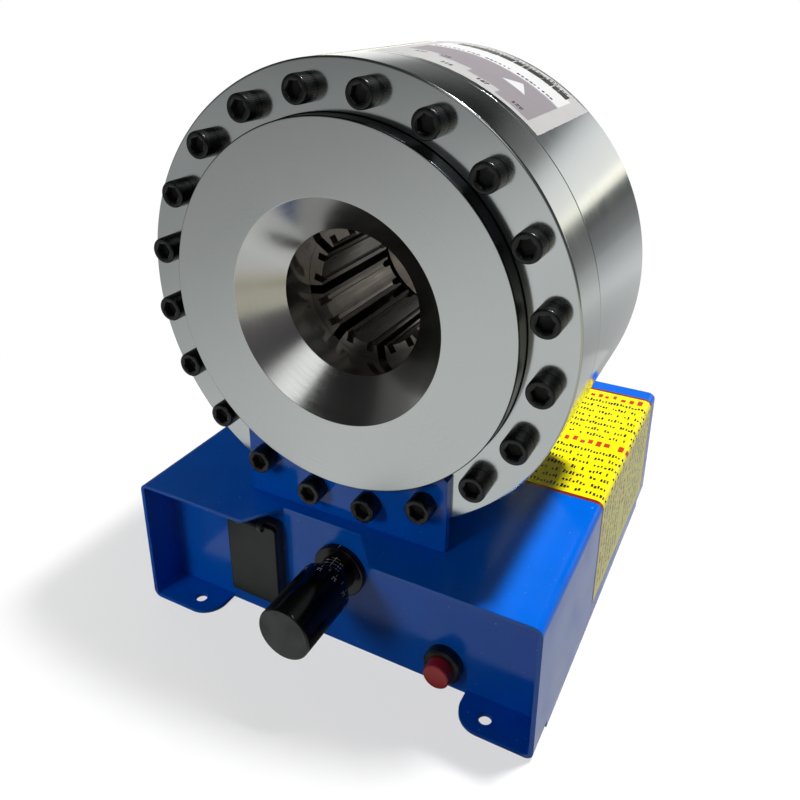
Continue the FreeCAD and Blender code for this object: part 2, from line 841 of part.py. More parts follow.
def switch_pad(z):
    floor = panel_front - frame_proud + well_deep
    back = floor - pad_travel - pad_rest_gap
    pad = rounded(switch_x - pad_wide / 2, switch_x + pad_wide / 2, z - pad_high / 2, z + pad_high / 2,
                  pad_round, back - pad_thick, back)
    return pad.fuse(rod(pad_stem_r, back - pad_thick / 2, floor + pad_stem_in, switch_x, z)).removeSplitter()


# Power unit and cable inlet

def pump_block():
    block = box(-block_wide / 2, block_wide / 2, oil_y - block_deep / 2, oil_y + block_deep / 2,
                top_under - block_high, top_under)
    return block.cut(Part.makeCylinder(nipple_flange_r + hole_clear, nipple_flange_thick + 1,
                                       Vector(0, oil_y, top_under - nipple_flange_thick)))


def oil_nipple():
    """Short stub from the pump block, through the top sheet and into the underside of the cylinder."""
    bottom = top_under - nipple_flange_thick
    top = head_z - flange_r + nipple_in_body
    stub = Part.makeCylinder(nipple_r, top - bottom, Vector(0, oil_y, bottom))
    flange = Part.makeCylinder(nipple_flange_r, nipple_flange_thick, Vector(0, oil_y, bottom))
    way = Part.makeCylinder(oil_hole_r, top - bottom + 2, Vector(0, oil_y, bottom - 1))
    return stub.fuse(flange).cut(way)


def motor_axis_z():
    return top_under - motor_pad_thick - motor_r


def pump_motor():
    """Motor beside the pump block: a body between two stepped end bells, on a pad under the top sheet."""
    x0 = block_wide / 2
    x1 = x0 + motor_long
    z = motor_axis_z()
    step = motor_r - motor_bell_step
    body = Part.makeCylinder(step, motor_long, Vector(x0, oil_y, z), X)
    for x in (x0, x1 - motor_bell_long):
        body = body.fuse(Part.makeCylinder(motor_r, motor_bell_long, Vector(x, oil_y, z), X))
    foot = box(x0 + motor_bell_long, x1 - motor_bell_long, oil_y - motor_r / 2, oil_y + motor_r / 2,
               z + step * (1 - motor_pad_sink), top_under)
    return body.fuse(foot).removeSplitter()


def oil_tank():
    x1 = -block_wide / 2
    x0 = x1 - tank_wide
    y0 = oil_y - tank_deep / 2
    return rounded(x0, x1, top_under - tank_high, top_under, tank_round, y0, y0 + tank_deep)


def cable_gland():
    """Gland on the rear panel, with its bore left empty."""
    rear = -panel_front
    inside = rear - panel_sheet
    nut_end = inside - gland_nut_thick
    neck_end = nut_end - gland_neck_past
    gland = rod(gland_r, rear, rear + gland_out, gland_x, gland_z)
    gland = gland.fuse(rod(gland_neck_r, neck_end, rear, gland_x, gland_z))
    gland = gland.fuse(rod(gland_r, nut_end, inside, gland_x, gland_z))
    bore = rod(gland_cable_r, neck_end - 1, rear + gland_out + 1, gland_x, gland_z)
    return gland.cut(bore).removeSplitter()


def main():
    os.makedirs("parts", exist_ok=True)
    front_plate_y, rear_plate_y = plate_places()
    stop_z, start_z = pad_places()
    nodes = {
        "base_channel": base_channel(),
        "front_panel": front_panel(),
        "rear_panel": rear_panel(),
        "front_support_plate": support_plate(front_plate_y, disc_r + plate_clear, plate_half_width),
        "rear_support_plate": support_plate(rear_plate_y, rear_cover_r + plate_clear,
                                            plate_half_width - rear_plate_narrower),
        "front_flange": front_flange(),
        "mouth_plate": mouth_plate(),
        "cylinder_body": cylinder_body(),
        "flange_screws": flange_screws(),
        "rear_plate_screws": rear_plate_screws(),
        "rear_cover": rear_cover(),
        "rear_cover_screws": rear_cover_screws(),
        "piston": piston(),
        "piston_seals": piston_seals(),
        "dial_collar": dial_collar(),
        "dial_sleeve": dial_sleeve(),
        "dial_nut": dial_nut(),
        "dial_rod": dial_rod(),
        "dial_thimble": dial_thimble(),
        "switch_bracket": switch_bracket(),
        "limit_switch": limit_switch(),
        "button_bezel": button_bezel(),
        "button_cap": button_cap(),
        "button_nut": button_nut(),
        "button_contact": button_contact(),
        "switch_frame": switch_frame(),
        "switch_flap": switch_flap(),
        "flap_pin": flap_pin(),
        "start_pad": switch_pad(start_z),
        "stop_pad": switch_pad(stop_z),
        "pump_block": pump_block(),
        "oil_nipple": oil_nipple(),
        "pump_motor": pump_motor(),
        "oil_tank": oil_tank(),
        "cable_gland": cable_gland(),
    }
    one_die, one_key = die(), die_key()
    for number, angle in enumerate(die_angles(), start=1):
        nodes["die_%d" % number] = turn_to(one_die, angle)
        nodes["die_key_%d" % number] = turn_to(one_key, angle)
    for name, shape in nodes.items():
        save(name, shape)


main()
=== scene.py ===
import math

import bmesh
import bpy
import numpy as np
from mathutils import Matrix


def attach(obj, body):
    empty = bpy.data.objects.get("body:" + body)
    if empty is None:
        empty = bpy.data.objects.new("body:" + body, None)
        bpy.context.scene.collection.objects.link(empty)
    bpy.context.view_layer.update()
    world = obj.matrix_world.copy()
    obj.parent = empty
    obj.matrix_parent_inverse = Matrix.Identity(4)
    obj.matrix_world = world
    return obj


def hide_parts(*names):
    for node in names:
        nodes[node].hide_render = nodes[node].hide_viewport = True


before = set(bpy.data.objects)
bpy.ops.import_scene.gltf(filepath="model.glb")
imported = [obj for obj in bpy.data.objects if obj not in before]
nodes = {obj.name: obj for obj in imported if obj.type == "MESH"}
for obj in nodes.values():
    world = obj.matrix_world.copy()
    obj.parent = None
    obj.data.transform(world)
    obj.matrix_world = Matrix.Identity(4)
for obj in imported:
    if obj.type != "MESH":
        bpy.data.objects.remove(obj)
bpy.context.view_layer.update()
mm = 0.001


# Folded base: one 3 mm steel sheet bent into a channel with four foot tabs, sprayed and baked in glossy
# blue enamel. It is the carrier of the whole machine, bolted down through the tabs.

def linear(code):
    """sRGB hex to linear RGBA: c / 12.92 below 0.04045, ((c + 0.055) / 1.055) to the power 2.4 above."""
    c = np.array([int(code[i:i + 2], 16) for i in (1, 3, 5)]) / 255
    out = np.where(c <= 0.04045, c / 12.92, ((c + 0.055) / 1.055) ** 2.4)
    return (*out.tolist(), 1.0)


def node(tree, kind, inputs=None, **settings):
    """Add a node with its settings; inputs maps a socket to a value, or to the output it is linked from."""
    made = tree.nodes.new("ShaderNode" + kind)
    for key, value in settings.items():
        setattr(made, key, value)
    for key, value in (inputs or {}).items():
        if isinstance(value, bpy.types.NodeSocket):
            tree.links.new(value, made.inputs[key])
        else:
            made.inputs[key].default_value = value
    return made


def surface(name, **sockets):
    """New material with constants on the sockets of its shader; returns it, its tree and its shader."""
    made = bpy.data.materials.new(name)
    made.use_nodes = True
    shader = made.node_tree.nodes["Principled BSDF"]
    for key, value in sockets.items():
        shader.inputs[key.replace("_", " ")].default_value = value
    return made, made.node_tree, shader


def wear(thing, material):
    """Give one material to the whole of an object."""
    thing.data.materials.clear()
    thing.data.materials.append(material)


def copied(source, name):
    """Copy of a CAD node's mesh with its loose triangles merged and its curved faces smooth."""
    mesh = nodes[source].data.copy()
    mesh.name = name
    bm = bmesh.new()
    bm.from_mesh(mesh)
    bmesh.ops.remove_doubles(bm, verts=bm.verts, dist=0.001 * mm)
    bm.to_mesh(mesh)
    bm.free()
    mesh.shade_smooth()
    mesh.set_sharp_from_angle(angle=math.radians(25))
    made = bpy.data.objects.new(name, mesh)
    bpy.context.scene.collection.objects.link(made)
    return made


def enamel(name, colour, edge=0.9):
    """Baked enamel: wet gloss over faint orange peel 3 mm wide, and rounded sheet edges. Its dust is 0.2 mm
    in truth and drawn as specks 2.2 mm apart so that it shows."""
    made, tree, shader = surface(name, Roughness=0.14, IOR=1.5, Specular_IOR_Level=0.3)
    place = node(tree, "TexCoord").outputs["Object"]
    cloud = node(tree, "TexNoise", {"Vector": place, "Scale": 1 / 0.035, "Detail": 4.0}).outputs["Fac"]
    dark = tuple(0.86 * c for c in linear(colour)[:3]) + (1.0,)
    pale = tuple(min(1.0, 1.12 * c) for c in linear(colour)[:3]) + (1.0,)
    tint = node(tree, "Mix", {0: cloud, 6: dark, 7: pale}, data_type="RGBA").outputs[2]
    speck = node(tree, "TexNoise", {"Vector": place, "Scale": 1 / 0.0022, "Detail": 2.0}).outputs["Fac"]
    dust = node(tree, "MapRange", {0: speck, 1: 0.72, 2: 0.78, 3: 0.0, 4: 0.5}).outputs[0]
    dusty = node(tree, "Mix", {0: dust, 6: tint, 7: linear("#9db4d8")}, data_type="RGBA").outputs[2]
    tree.links.new(dusty, shader.inputs["Base Color"])
    smear = node(tree, "TexNoise", {"Vector": place, "Scale": 1 / 0.05, "Detail": 6.0, "Distortion": 0.6})
    gloss = node(tree, "MapRange", {0: smear.outputs["Fac"], 1: 0.35, 2: 0.7, 3: 0.10, 4: 0.24}).outputs[0]
    tree.links.new(gloss, shader.inputs["Roughness"])
    peel = node(tree, "TexNoise", {"Vector": place, "Scale": 1 / 0.003, "Detail": 1.0}).outputs["Fac"]
    rounded = node(tree, "Bevel", {"Radius": edge * mm}, samples=4).outputs[0]
    bump = node(tree, "Bump", {"Height": peel, "Strength": 0.05, "Distance": 0.2 * mm, "Normal": rounded})
    tree.links.new(bump.outputs[0], shader.inputs["Normal"])
    return made


blue_enamel = enamel("baked_blue_enamel", "#0064d8")
base_half, cad_half = 156.8, 157.0
folded_base = copied("base_channel", "folded_base")
places = np.empty(3 * len(folded_base.data.vertices))
folded_base.data.vertices.foreach_get("co", places)
places = places.reshape(-1, 3) * (base_half / cad_half, 1, 1)
folded_base.data.vertices.foreach_set("co", places.ravel())
wear(folded_base, blue_enamel)
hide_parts("base_channel")
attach(folded_base, "base")

# Front and rear panels: pan-shaped sheets set 28 mm behind the edges of the base, screwed in from inside
# and sprayed in the same blue enamel. The rear one has air slots.

for panel in ("front_panel", "rear_panel"):
    wear(nodes[panel], blue_enamel)


# Information label: yellow vinyl film stuck over the right half of the top sheet, round its bend and down
# the side wall. It has dark red rules at both ends, and rows of small black and red blocks between them.

def sheet_mesh(name, points, uv=None, closed=False):
    """Mesh of one or more grids of points, shape (count, rows, columns, 3) in mm, with quads between
    neighbours. A closed grid repeats its first row or column: the repeats are merged and the faces are
    turned outwards. uv has the same shape with 2 numbers."""
    points = np.asarray(points, float)
    if points.ndim == 3:
        points = points[None]
        uv = None if uv is None else uv[None]
    count, rows, columns, _ = points.shape
    index = np.arange(count * rows * columns).reshape(count, rows, columns)
    quads = np.stack([index[:, :-1, :-1], index[:, 1:, :-1], index[:, 1:, 1:], index[:, :-1, 1:]], -1)
    quads = quads.reshape(-1, 4)
    mesh = bpy.data.meshes.new(name)
    mesh.from_pydata((points.reshape(-1, 3) * mm).tolist(), [], quads.tolist())
    if uv is not None:
        layer = mesh.uv_layers.new(name="UVMap")
        layer.data.foreach_set("uv", uv.reshape(-1, 2)[quads.ravel()].astype(np.float32).ravel())
    bm = bmesh.new()
    bm.from_mesh(mesh)
    bmesh.ops.remove_doubles(bm, verts=bm.verts, dist=0.0005 * mm)
    bmesh.ops.dissolve_degenerate(bm, edges=bm.edges, dist=0.0004 * mm)
    if closed:
        bmesh.ops.recalc_face_normals(bm, faces=bm.faces)
    bm.to_mesh(mesh)
    bm.free()
    mesh.shade_smooth()
    mesh.set_sharp_from_angle(angle=math.radians(30))
    made = bpy.data.objects.new(name, mesh)
    bpy.context.scene.collection.objects.link(made)
    return made


base_top, base_bend = 105.0, 6.0
base_label_front, base_label_back = -27.2, 147.3
base_label_start, base_label_end = 20.0, 245.0


def over_the_edge(along, lift):
    """Point at a path length along the top sheet, its bend and the side wall: straight in +X up to the
    bend, then a quarter circle of the bend's radius about its axis, then straight down."""
    r = base_bend + lift
    flat_end = base_half - base_bend
    arc = base_bend * math.pi / 2
    turn = np.clip((along - flat_end) / base_bend, 0, math.pi / 2)
    x = np.minimum(along, flat_end) + r * np.sin(turn)
    z = base_top - base_bend + r * np.cos(turn) - np.maximum(along - flat_end - arc, 0)
    return x, z


def base_film(name, rects, lift, columns, material):
    """Film patches on the base; each rectangle is (start, end) along the path over the edge and
    (front, back) in y. Columns follow the path and stand eight times closer in the bend."""
    r = np.asarray(rects, float)
    flat_end, arc = base_half - base_bend, base_bend * math.pi / 2
    knots = np.array([0, flat_end, flat_end + arc, 400])
    dense = knots + np.array([0, 0, 7 * arc, 7 * arc])
    begin, finish = np.interp(r[:, :1], knots, dense), np.interp(r[:, 1:2], knots, dense)
    along = np.interp(begin + (finish - begin) * np.linspace(0, 1, columns), dense, knots)
    x, z = over_the_edge(along, lift)
    grid = np.empty((len(r), 2, columns, 3))
    grid[..., 0] = x[:, None]
    grid[..., 2] = z[:, None]
    grid[:, 0, :, 1] = r[:, 3:4]
    grid[:, 1, :, 1] = r[:, 2:3]
    made = sheet_mesh(name, grid)
    wear(made, material)
    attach(made, "base")
    return made


def film(name, colour, grime="#8a8a80", rough=0.25):
    """Printed film under a clear face: one flat colour and an even gleam, with faint ripples 12 mm wide and
    a little grime in clouds 20 mm wide."""
    made, tree, shader = surface(name, Roughness=rough, IOR=1.45)
    place = node(tree, "TexCoord").outputs["Object"]
    cloud = node(tree, "TexNoise", {"Vector": place, "Scale": 1 / 0.02, "Detail": 5.0}).outputs["Fac"]
    share = node(tree, "MapRange", {0: cloud, 1: 0.45, 2: 0.9, 3: 0.0, 4: 0.22}).outputs[0]
    tint = node(tree, "Mix", {0: share, 6: linear(colour), 7: linear(grime)}, data_type="RGBA").outputs[2]
    tree.links.new(tint, shader.inputs["Base Color"])
    wave = node(tree, "TexNoise", {"Vector": place, "Scale": 1 / 0.012}).outputs["Fac"]
    bump = node(tree, "Bump", {"Height": wave, "Strength": 0.08, "Distance": 0.2 * mm}).outputs[0]
    tree.links.new(bump, shader.inputs["Normal"])
    return made


yellow_vinyl = film("yellow_vinyl_film", "#f6e902", "#b8ab06")
red_print = film("dark_red_print", "#8c1f16")
red_heading = film("red_heading_print", "#c23b1c")
black_print = film("black_print", "#15140f")


def printed_rows(rows, start, end, height, seed, letter=2.6, spread=3.2):
    """Rows of small blocks: each row is a middle y. A block is about half a step (letter) wide, the next
    one starts a step further on, and about every sixth step also skips a space."""
    rng = np.random.default_rng(seed)
    bars = []
    for y in rows:
        count = int((end - start) / letter)
        space = np.where(rng.uniform(size=count) < 0.17, spread, 0.0)
        begins = start + np.cumsum(letter * rng.uniform(0.85, 1.15, count) + space)
        begins = begins[begins < end - letter]
        tall = height * rng.choice([0.55, 0.75, 1.0], len(begins))
        foot = y - height / 2 + rng.choice([0.0, 0.0, 0.2], len(begins)) * height
        bars.append(np.stack([begins, begins + letter * rng.uniform(0.4, 0.7, len(begins)), foot,
                              np.minimum(foot + tall, y + height / 2)], 1))
    return np.concatenate(bars)


whole_way = (base_label_start, base_label_end)
base_film("base_label", [(*whole_way, base_label_front, base_label_back)], 0.1, 90, yellow_vinyl)
base_film("base_label_rules", [(*whole_way, base_label_front, base_label_front + 3.4),
                               (*whole_way, base_label_back - 3.0, base_label_back)], 0.13, 90, red_print)
small_rows = [125.5, 115.5, 105.5, 95.5, 85.5, 75.5, 65.5, 40.0, 30.5, 21.0, 11.5, 2.0, -7.5, -17.0]
words = printed_rows(small_rows, 26.0, 239.0, 4.8, seed=4)
headings = printed_rows([136.5, 52.5], 92.0, 205.0, 8.2, seed=9, letter=6.4, spread=5.0)
base_film("base_label_words", words, 0.14, 4, black_print)
base_film("base_label_headings", headings, 0.14, 4, red_heading)


# Support plates: 5 mm steel plates welded into slots of the top sheet and hollowed to the head's radius.
# They are sprayed with the base, and four screws hold each one to the head.

for plate in ("front_support_plate", "rear_support_plate"):
    wear(nodes[plate], blue_enamel)


# Power unit: cast tank and motor in grey paint, a zinc-plated pump block and its nipple, all hung below the
# top sheet and only seen from below.

def painted_casting(name, colour):
    """Sprayed casting: satin paint that follows a sand-cast grain 1.5 mm wide."""
    made, tree, shader = surface(name, Roughness=0.45, IOR=1.5)
    place = node(tree, "TexCoord").outputs["Object"]
    grain = node(tree, "TexNoise", {"Vector": place, "Scale": 1 / 0.0015, "Detail": 3.0}).outputs["Fac"]
    cloud = node(tree, "TexNoise", {"Vector": place, "Scale": 1 / 0.03, "Detail": 4.0}).outputs["Fac"]
    dark = tuple(0.8 * c for c in linear(colour)[:3]) + (1.0,)
    tint = node(tree, "Mix", {0: cloud, 6: dark, 7: linear(colour)}, data_type="RGBA").outputs[2]
    tree.links.new(tint, shader.inputs["Base Color"])
    bump = node(tree, "Bump", {"Height": grain, "Strength": 0.25, "Distance": 0.3 * mm}).outputs[0]
    tree.links.new(bump, shader.inputs["Normal"])
    return made


def plated_steel(name, colour, rough=0.32):
    """Plated or oiled steel: dull metal whose crystal blotches differ a little in gloss. They are 1 mm wide
    in truth and drawn 4 mm wide so that they show."""
    made, tree, shader = surface(name, Metallic=1.0, Roughness=rough)
    place = node(tree, "TexCoord").outputs["Object"]
    blotch = node(tree, "TexVoronoi", {"Vector": place, "Scale": 1 / 0.004}).outputs["Color"]
    value = node(tree, "RGBToBW", {0: blotch}).outputs[0]
    dark = tuple(0.82 * c for c in linear(colour)[:3]) + (1.0,)
    tint = node(tree, "Mix", {0: value, 6: dark, 7: linear(colour)}, data_type="RGBA").outputs[2]
    tree.links.new(tint, shader.inputs["Base Color"])
    gloss = node(tree, "MapRange", {0: value, 3: rough - 0.05, 4: rough + 0.08}).outputs[0]
    tree.links.new(gloss, shader.inputs["Roughness"])
    rounded = node(tree, "Bevel", {"Radius": 0.3 * mm}, samples=4).outputs[0]
    tree.links.new(rounded, shader.inputs["Normal"])
    return made


grey_paint = painted_casting("grey_machine_paint", "#575b60")
zinc_plate = plated_steel("zinc_plated_steel", "#b9bcc0")
for part in ("pump_motor", "oil_tank"):
    wear(nodes[part], grey_paint)
for part in ("pump_block", "oil_nipple"):
    wear(nodes[part], zinc_plate)


# Cylinder: thick steel cup, turned and polished on the outside, with the piston inside. The flange ring's
# screws pull it against the mouth plate, and the support plates carry it.

def eased(corners, support=0.25):
    """Closed outline with each corner (r, d, fillet) rounded: an arc is swept between the two points that
    lie fillet / tan(half the corner angle) from the corner. One more point on each flat, just before the
    arc, keeps the flat's shading even."""
    c = np.asarray(corners, float)
    out = []
    for i in range(len(c)):
        here, fillet = c[i, :2], c[i, 2]
        if fillet <= 0:
            out.append(here[None])
            continue
        a = c[i - 1, :2] - here
        b = c[(i + 1) % len(c), :2] - here
        a, b = a / np.linalg.norm(a), b / np.linalg.norm(b)
        half = math.acos(np.clip(a @ b, -1, 1)) / 2
        reach = fillet / math.tan(half)
        middle = (a + b) / np.linalg.norm(a + b)
        centre = here + middle * fillet / math.sin(half)
        first, last = here + a * reach - centre, here + b * reach - centre
        sweep = math.pi - 2 * half
        s = np.linspace(0, 1, 6)[:, None]
        arc = (np.sin((1 - s) * sweep) * first + np.sin(s * sweep) * last) / math.sin(sweep)
        out += [(here + a * (reach + support))[None], centre + arc, (here + b * (reach + support))[None]]
    return np.concatenate(out)


head_front, head_z = -122.5, 261.0


def turned(name, outline, material, turns=256, x=0.0, z=head_z, front=head_front):
    """Surface of revolution about a Y axis from a closed outline: at turn t its point (r, d) is at
    x + r cos t, front + d, z + r sin t. The UV holds the turn (0 to 1) and the length along the outline
    in mm."""
    o = np.concatenate([outline, outline[:1]])
    t = np.linspace(0, 2 * math.pi, turns + 1)
    along = np.concatenate([[0], np.cumsum(np.hypot(*np.diff(o, axis=0).T))])
    grid = np.stack([x + o[:, :1] * np.cos(t), np.repeat(front + o[:, 1:], turns + 1, 1),
                     z + o[:, :1] * np.sin(t)], -1)
    uv = np.stack(np.broadcast_arrays(t / (2 * math.pi), along[:, None]), -1)
    made = sheet_mesh(name, grid, uv, closed=True)
    wear(made, material)
    return made


def turned_steel(name, colour, rough, streak, stretch, ring=0.5, lines=0.03):
    """Turned steel: metal whose gloss is drawn out across the cutting lines. The lines run round the axis
    with the UV's turn; they are 0.1 mm apart in truth and drawn 0.5 mm apart so that they show."""
    made, tree, shader = surface(name, Metallic=1.0, Roughness=rough, Anisotropic=stretch)
    uv = node(tree, "UVMap", uv_map="UVMap").outputs[0]
    tree.links.new(node(tree, "Tangent", direction_type="UV_MAP", uv_map="UVMap").outputs[0],
                   shader.inputs["Tangent"])
    around = node(tree, "Mapping", {"Vector": uv, "Scale": (5.0, 1 / ring, 1.0)}).outputs[0]
    cut = node(tree, "TexNoise", {"Vector": around, "Scale": 1.0, "Detail": 3.0, "Roughness": 0.6})
    cut = cut.outputs["Fac"]
    place = node(tree, "TexCoord").outputs["Object"]
    cloud = node(tree, "TexNoise", {"Vector": place, "Scale": 1 / 0.045, "Detail": 5.0, "Distortion": 0.4})
    cloud = cloud.outputs["Fac"]
    mixed = node(tree, "Math", {0: cut, 1: cloud}, operation="MULTIPLY").outputs[0]
    low, high = rough * (1 - streak), rough * (1 + streak)
    gloss = node(tree, "MapRange", {0: mixed, 1: 0.12, 2: 0.40, 3: low, 4: high}).outputs[0]
    tree.links.new(gloss, shader.inputs["Roughness"])
    dark = tuple(0.90 * c for c in linear(colour)[:3]) + (1.0,)
    tint = node(tree, "Mix", {0: cloud, 6: dark, 7: linear(colour)}, data_type="RGBA").outputs[2]
    tree.links.new(tint, shader.inputs["Base Color"])
    bump = node(tree, "Bump", {"Height": cut, "Strength": lines, "Distance": 0.05 * mm}).outputs[0]
    tree.links.new(bump, shader.inputs["Normal"])
    return made


polished_side = turned_steel("polished_turned_steel", "#c2c6c7", 0.11, 0.4, 0.3, ring=0.6, lines=0.06)
satin_face = turned_steel("satin_faced_steel", "#c3c6c5", 0.30, 0.12, 0.1, ring=0.5, lines=0.004)

shell_r, shell_bore, tail_bore = 153.85, 124.0, 84.1
shell_front, shell_floor, shell_back = 38.0, 138.0, 154.0
shell_outline = eased([(shell_bore, shell_front, 0), (151.2, shell_front, 0), (151.2, shell_front + 0.4, 0),
                       (shell_r, shell_front + 0.4, 0.25), (shell_r, shell_back - 1.5, 0.6),
                       (shell_r - 1.5, shell_back, 0.6), (tail_bore, shell_back, 0.4),
                       (tail_bore, shell_floor, 0), (shell_bore, shell_floor, 0)])
cylinder = turned("cylinder_shell", shell_outline, polished_side, turns=360)
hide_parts("cylinder_body")
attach(cylinder, "base")

# Piston, its seals and the rear cover: the annular piston of oiled steel slides inside the cylinder, its
# tail passes through the turned cover ring at the back, and rubber rings seal it.

wear(nodes["piston"], plated_steel("oiled_piston", "#6d665e", 0.36))
cover_r, cover_bore, cover_back = 111.9, 84.15, shell_back + 19.95
cover_outline = eased([(cover_bore, shell_back, 0), (cover_r, shell_back, 0), (cover_r, cover_back, 1.0),
                       (cover_bore, cover_back, 0.3)])
cover_ring = turned("cover_ring", cover_outline, satin_face, turns=240)
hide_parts("rear_cover")
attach(cover_ring, "base")


def moulded(name, colour, rough, grain=0.0006, depth=0.12, edge=0.35, shine=0.5):
    """Moulded plastic or rubber: one dense colour, rounded edges, and a spark-eroded grain that softens the
    gloss. The grain is 0.05 mm in truth and drawn about 0.6 mm wide so that it shows."""
    made, tree, shader = surface(name, Roughness=rough, IOR=1.49, Specular_IOR_Level=shine)
    place = node(tree, "TexCoord").outputs["Object"]
    fine = node(tree, "TexNoise", {"Vector": place, "Scale": 1 / grain, "Detail": 2.0}).outputs["Fac"]
    cloud = node(tree, "TexNoise", {"Vector": place, "Scale": 1 / 0.012, "Detail": 4.0}).outputs["Fac"]
    dark = tuple(0.75 * c for c in linear(colour)[:3]) + (1.0,)
    tint = node(tree, "Mix", {0: cloud, 6: dark, 7: linear(colour)}, data_type="RGBA").outputs[2]
    tree.links.new(tint, shader.inputs["Base Color"])
    gloss = node(tree, "MapRange", {0: cloud, 1: 0.3, 2: 0.7, 3: rough * 0.8, 4: rough * 1.25}).outputs[0]
    tree.links.new(gloss, shader.inputs["Roughness"])
    rounded = node(tree, "Bevel", {"Radius": edge * mm}, samples=4).outputs[0]
    bump = node(tree, "Bump", {"Height": fine, "Strength": depth, "Distance": 0.08 * mm, "Normal": rounded})
    tree.links.new(bump.outputs[0], shader.inputs["Normal"])
    return made


seal_rubber = moulded("nitrile_rubber", "#1d1d1d", 0.6)
wear(nodes["piston_seals"], seal_rubber)


# Measure label: silver polyester film stuck over the top of the cylinder, printed with a grey stepped band,
# a white triangle, a white strip and rows of small black blocks.

label_r = 154.0


def cylinder_film(name, rects, lift, columns, material):
    """Film patches on the cylinder; each rectangle is (from, to) in mm of arc from the top, towards +X,
    and (front, back) in depth. A point at arc a is at r sin(a / R), r cos(a / R), with R the label's own
    radius and r that of the patch."""
    r = np.asarray(rects, float)
    radius = shell_r + lift
    angle = (r[:, :1] + (r[:, 1:2] - r[:, :1]) * np.linspace(0, 1, columns)) / label_r
    grid = np.empty((len(r), 2, columns, 3))
    grid[..., 0] = (radius * np.sin(angle))[:, None]
    grid[..., 2] = (head_z + radius * np.cos(angle))[:, None]
    grid[:, 0, :, 1] = head_front + r[:, 3:4]
    grid[:, 1, :, 1] = head_front + r[:, 2:3]
    made = sheet_mesh(name, grid)
    wear(made, material)
    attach(made, "base")
    return made


silver_film = film("silver_polyester_film", "#b7b6b5", "#9c9a9a", rough=0.4)
mauve_print = film("grey_mauve_print", "#8d868b", "#7e787c", rough=0.4)
white_print = film("white_print", "#d6d6d6", "#c4c4c4", rough=0.4)
cylinder_film("cylinder_label", [(-5.0, 117.5, 43.9, 149.2)], 0.03, 121, silver_film)
band_steps = [(80.5, 106.5, 49.0), (56.5, 80.5, 58.0), (32.5, 56.5, 67.0), (6.5, 32.5, 76.0)]
cylinder_film("cylinder_label_band", [(a, b, d, 106.0) for a, b, d in band_steps], 0.06, 31, mauve_print)
cylinder_film("cylinder_label_strip", [(6.5, 106.5, 107.5, 134.5)], 0.06, 101, white_print)
rng = np.random.default_rng(21)
ends = np.cumsum(rng.uniform(3, 12, 22)) + 6.5
block_rects = [(a, b - rng.uniform(0.1, 1.0), 131.6, 141.0)
               for a, b in zip(ends[:-1], ends[1:]) if b < 108]
block_rects += [(a, a + rng.uniform(1.0, 2.4), d, d + 1.6) for a in np.arange(34, 98, 2.9)
                for d in (142.0, 144.8)[:rng.integers(1, 3)]]
mark_rects = [(a, a + rng.uniform(1.4, 2.4), d, d + rng.uniform(1.2, 1.9))
              for start, depth in ((91, 54), (66, 52), (41, 52), (31, 71), (16, 67))
              for a in np.arange(start, start + 8, 2.7) for d in (depth, depth + 2.6)]
mark_rects += [(a, a + rng.uniform(1.2, 2.6), 110.2, 112.8) for a in np.arange(9, 102, 3.4)
               if rng.uniform() < 0.8]
cylinder_film("cylinder_label_marks", block_rects + mark_rects, 0.09, 7, black_print)


def film_triangle(name, a, b, c, lift, material, rows=14):
    """Triangle rolled on the cylinder: at share s from corner a to the side b-c and share w across, its
    point is a + s (b - a + w (c - b)), with the first number as arc and the second as depth."""
    a, b, c = (np.asarray(p, float) for p in (a, b, c))
    s = np.linspace(0.001, 1, rows)[:, None, None]
    w = np.linspace(0, 1, 12)[None, :, None]
    flat = a + s * (b - a + w * (c - b))
    angle = flat[..., 0] / label_r
    radius = shell_r + lift
    made = sheet_mesh(name, np.stack([radius * np.sin(angle), head_front + flat[..., 1],
                                      head_z + radius * np.cos(angle)], -1)[:, ::-1])
    wear(made, material)
    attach(made, "base")
    return made


film_triangle("cylinder_label_triangle", (70.9, 83.0), (89.5, 80.5), (81.0, 98.0), 0.08, white_print)


# Mouth plate: turned steel disc, 13 mm proud of the ring, its face satin and its cone polished by the
# fittings that run down it. A shoulder behind the flange ring holds it.

cone_steel = turned_steel("polished_cone_steel", "#bcbcba", 0.19, 0.3, 0.3, ring=0.6, lines=0.03)
# The steel of the disc's side wall is made dark: a painted dark reflection of the ring face it mirrors.
dark_painted_side = turned_steel("dark_painted_side_steel", "#33373a", 0.30, 0.3, 0.2, ring=0.6, lines=0.05)
cone_r, disc_r, shoulder_r, mouth_bore = 75.0, 122.4, 127.5, 50.0
mouth_outline = eased([(cone_r, -13.0, 0.5), (disc_r, -13.0, 1.0), (disc_r, 18.0, 0),
                       (shoulder_r, 18.0, 0.3), (shoulder_r, 38.0, 0), (mouth_bore, 38.0, 0.3),
                       (mouth_bore, 10.0, 0.4)])
mouth = turned("mouth_disc", mouth_outline, satin_face)
mouth.data.materials.append(cone_steel)
mouth.data.materials.append(dark_painted_side)
centres = np.empty(3 * len(mouth.data.polygons))
normals = np.empty(3 * len(mouth.data.polygons))
mouth.data.polygons.foreach_get("center", centres)
mouth.data.polygons.foreach_get("normal", normals)
away = np.hypot(centres[0::3], centres[2::3] - head_z * mm) / mm
facing = normals[1::3]
in_cone, on_side = (away < cone_r + 0.2) & (facing > -0.97), (away > disc_r - 0.9) & (facing > -0.9)
skin = np.where(in_cone, 1, np.where(on_side, 2, 0))
mouth.data.polygons.foreach_set("material_index", skin.astype(np.int32))
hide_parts("mouth_plate")
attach(mouth, "base")

# Flange ring: 38 mm steel ring, turned and then polished on its face and rim, with its front edge rounded
# by the polishing. Twenty screws draw it against the cylinder.

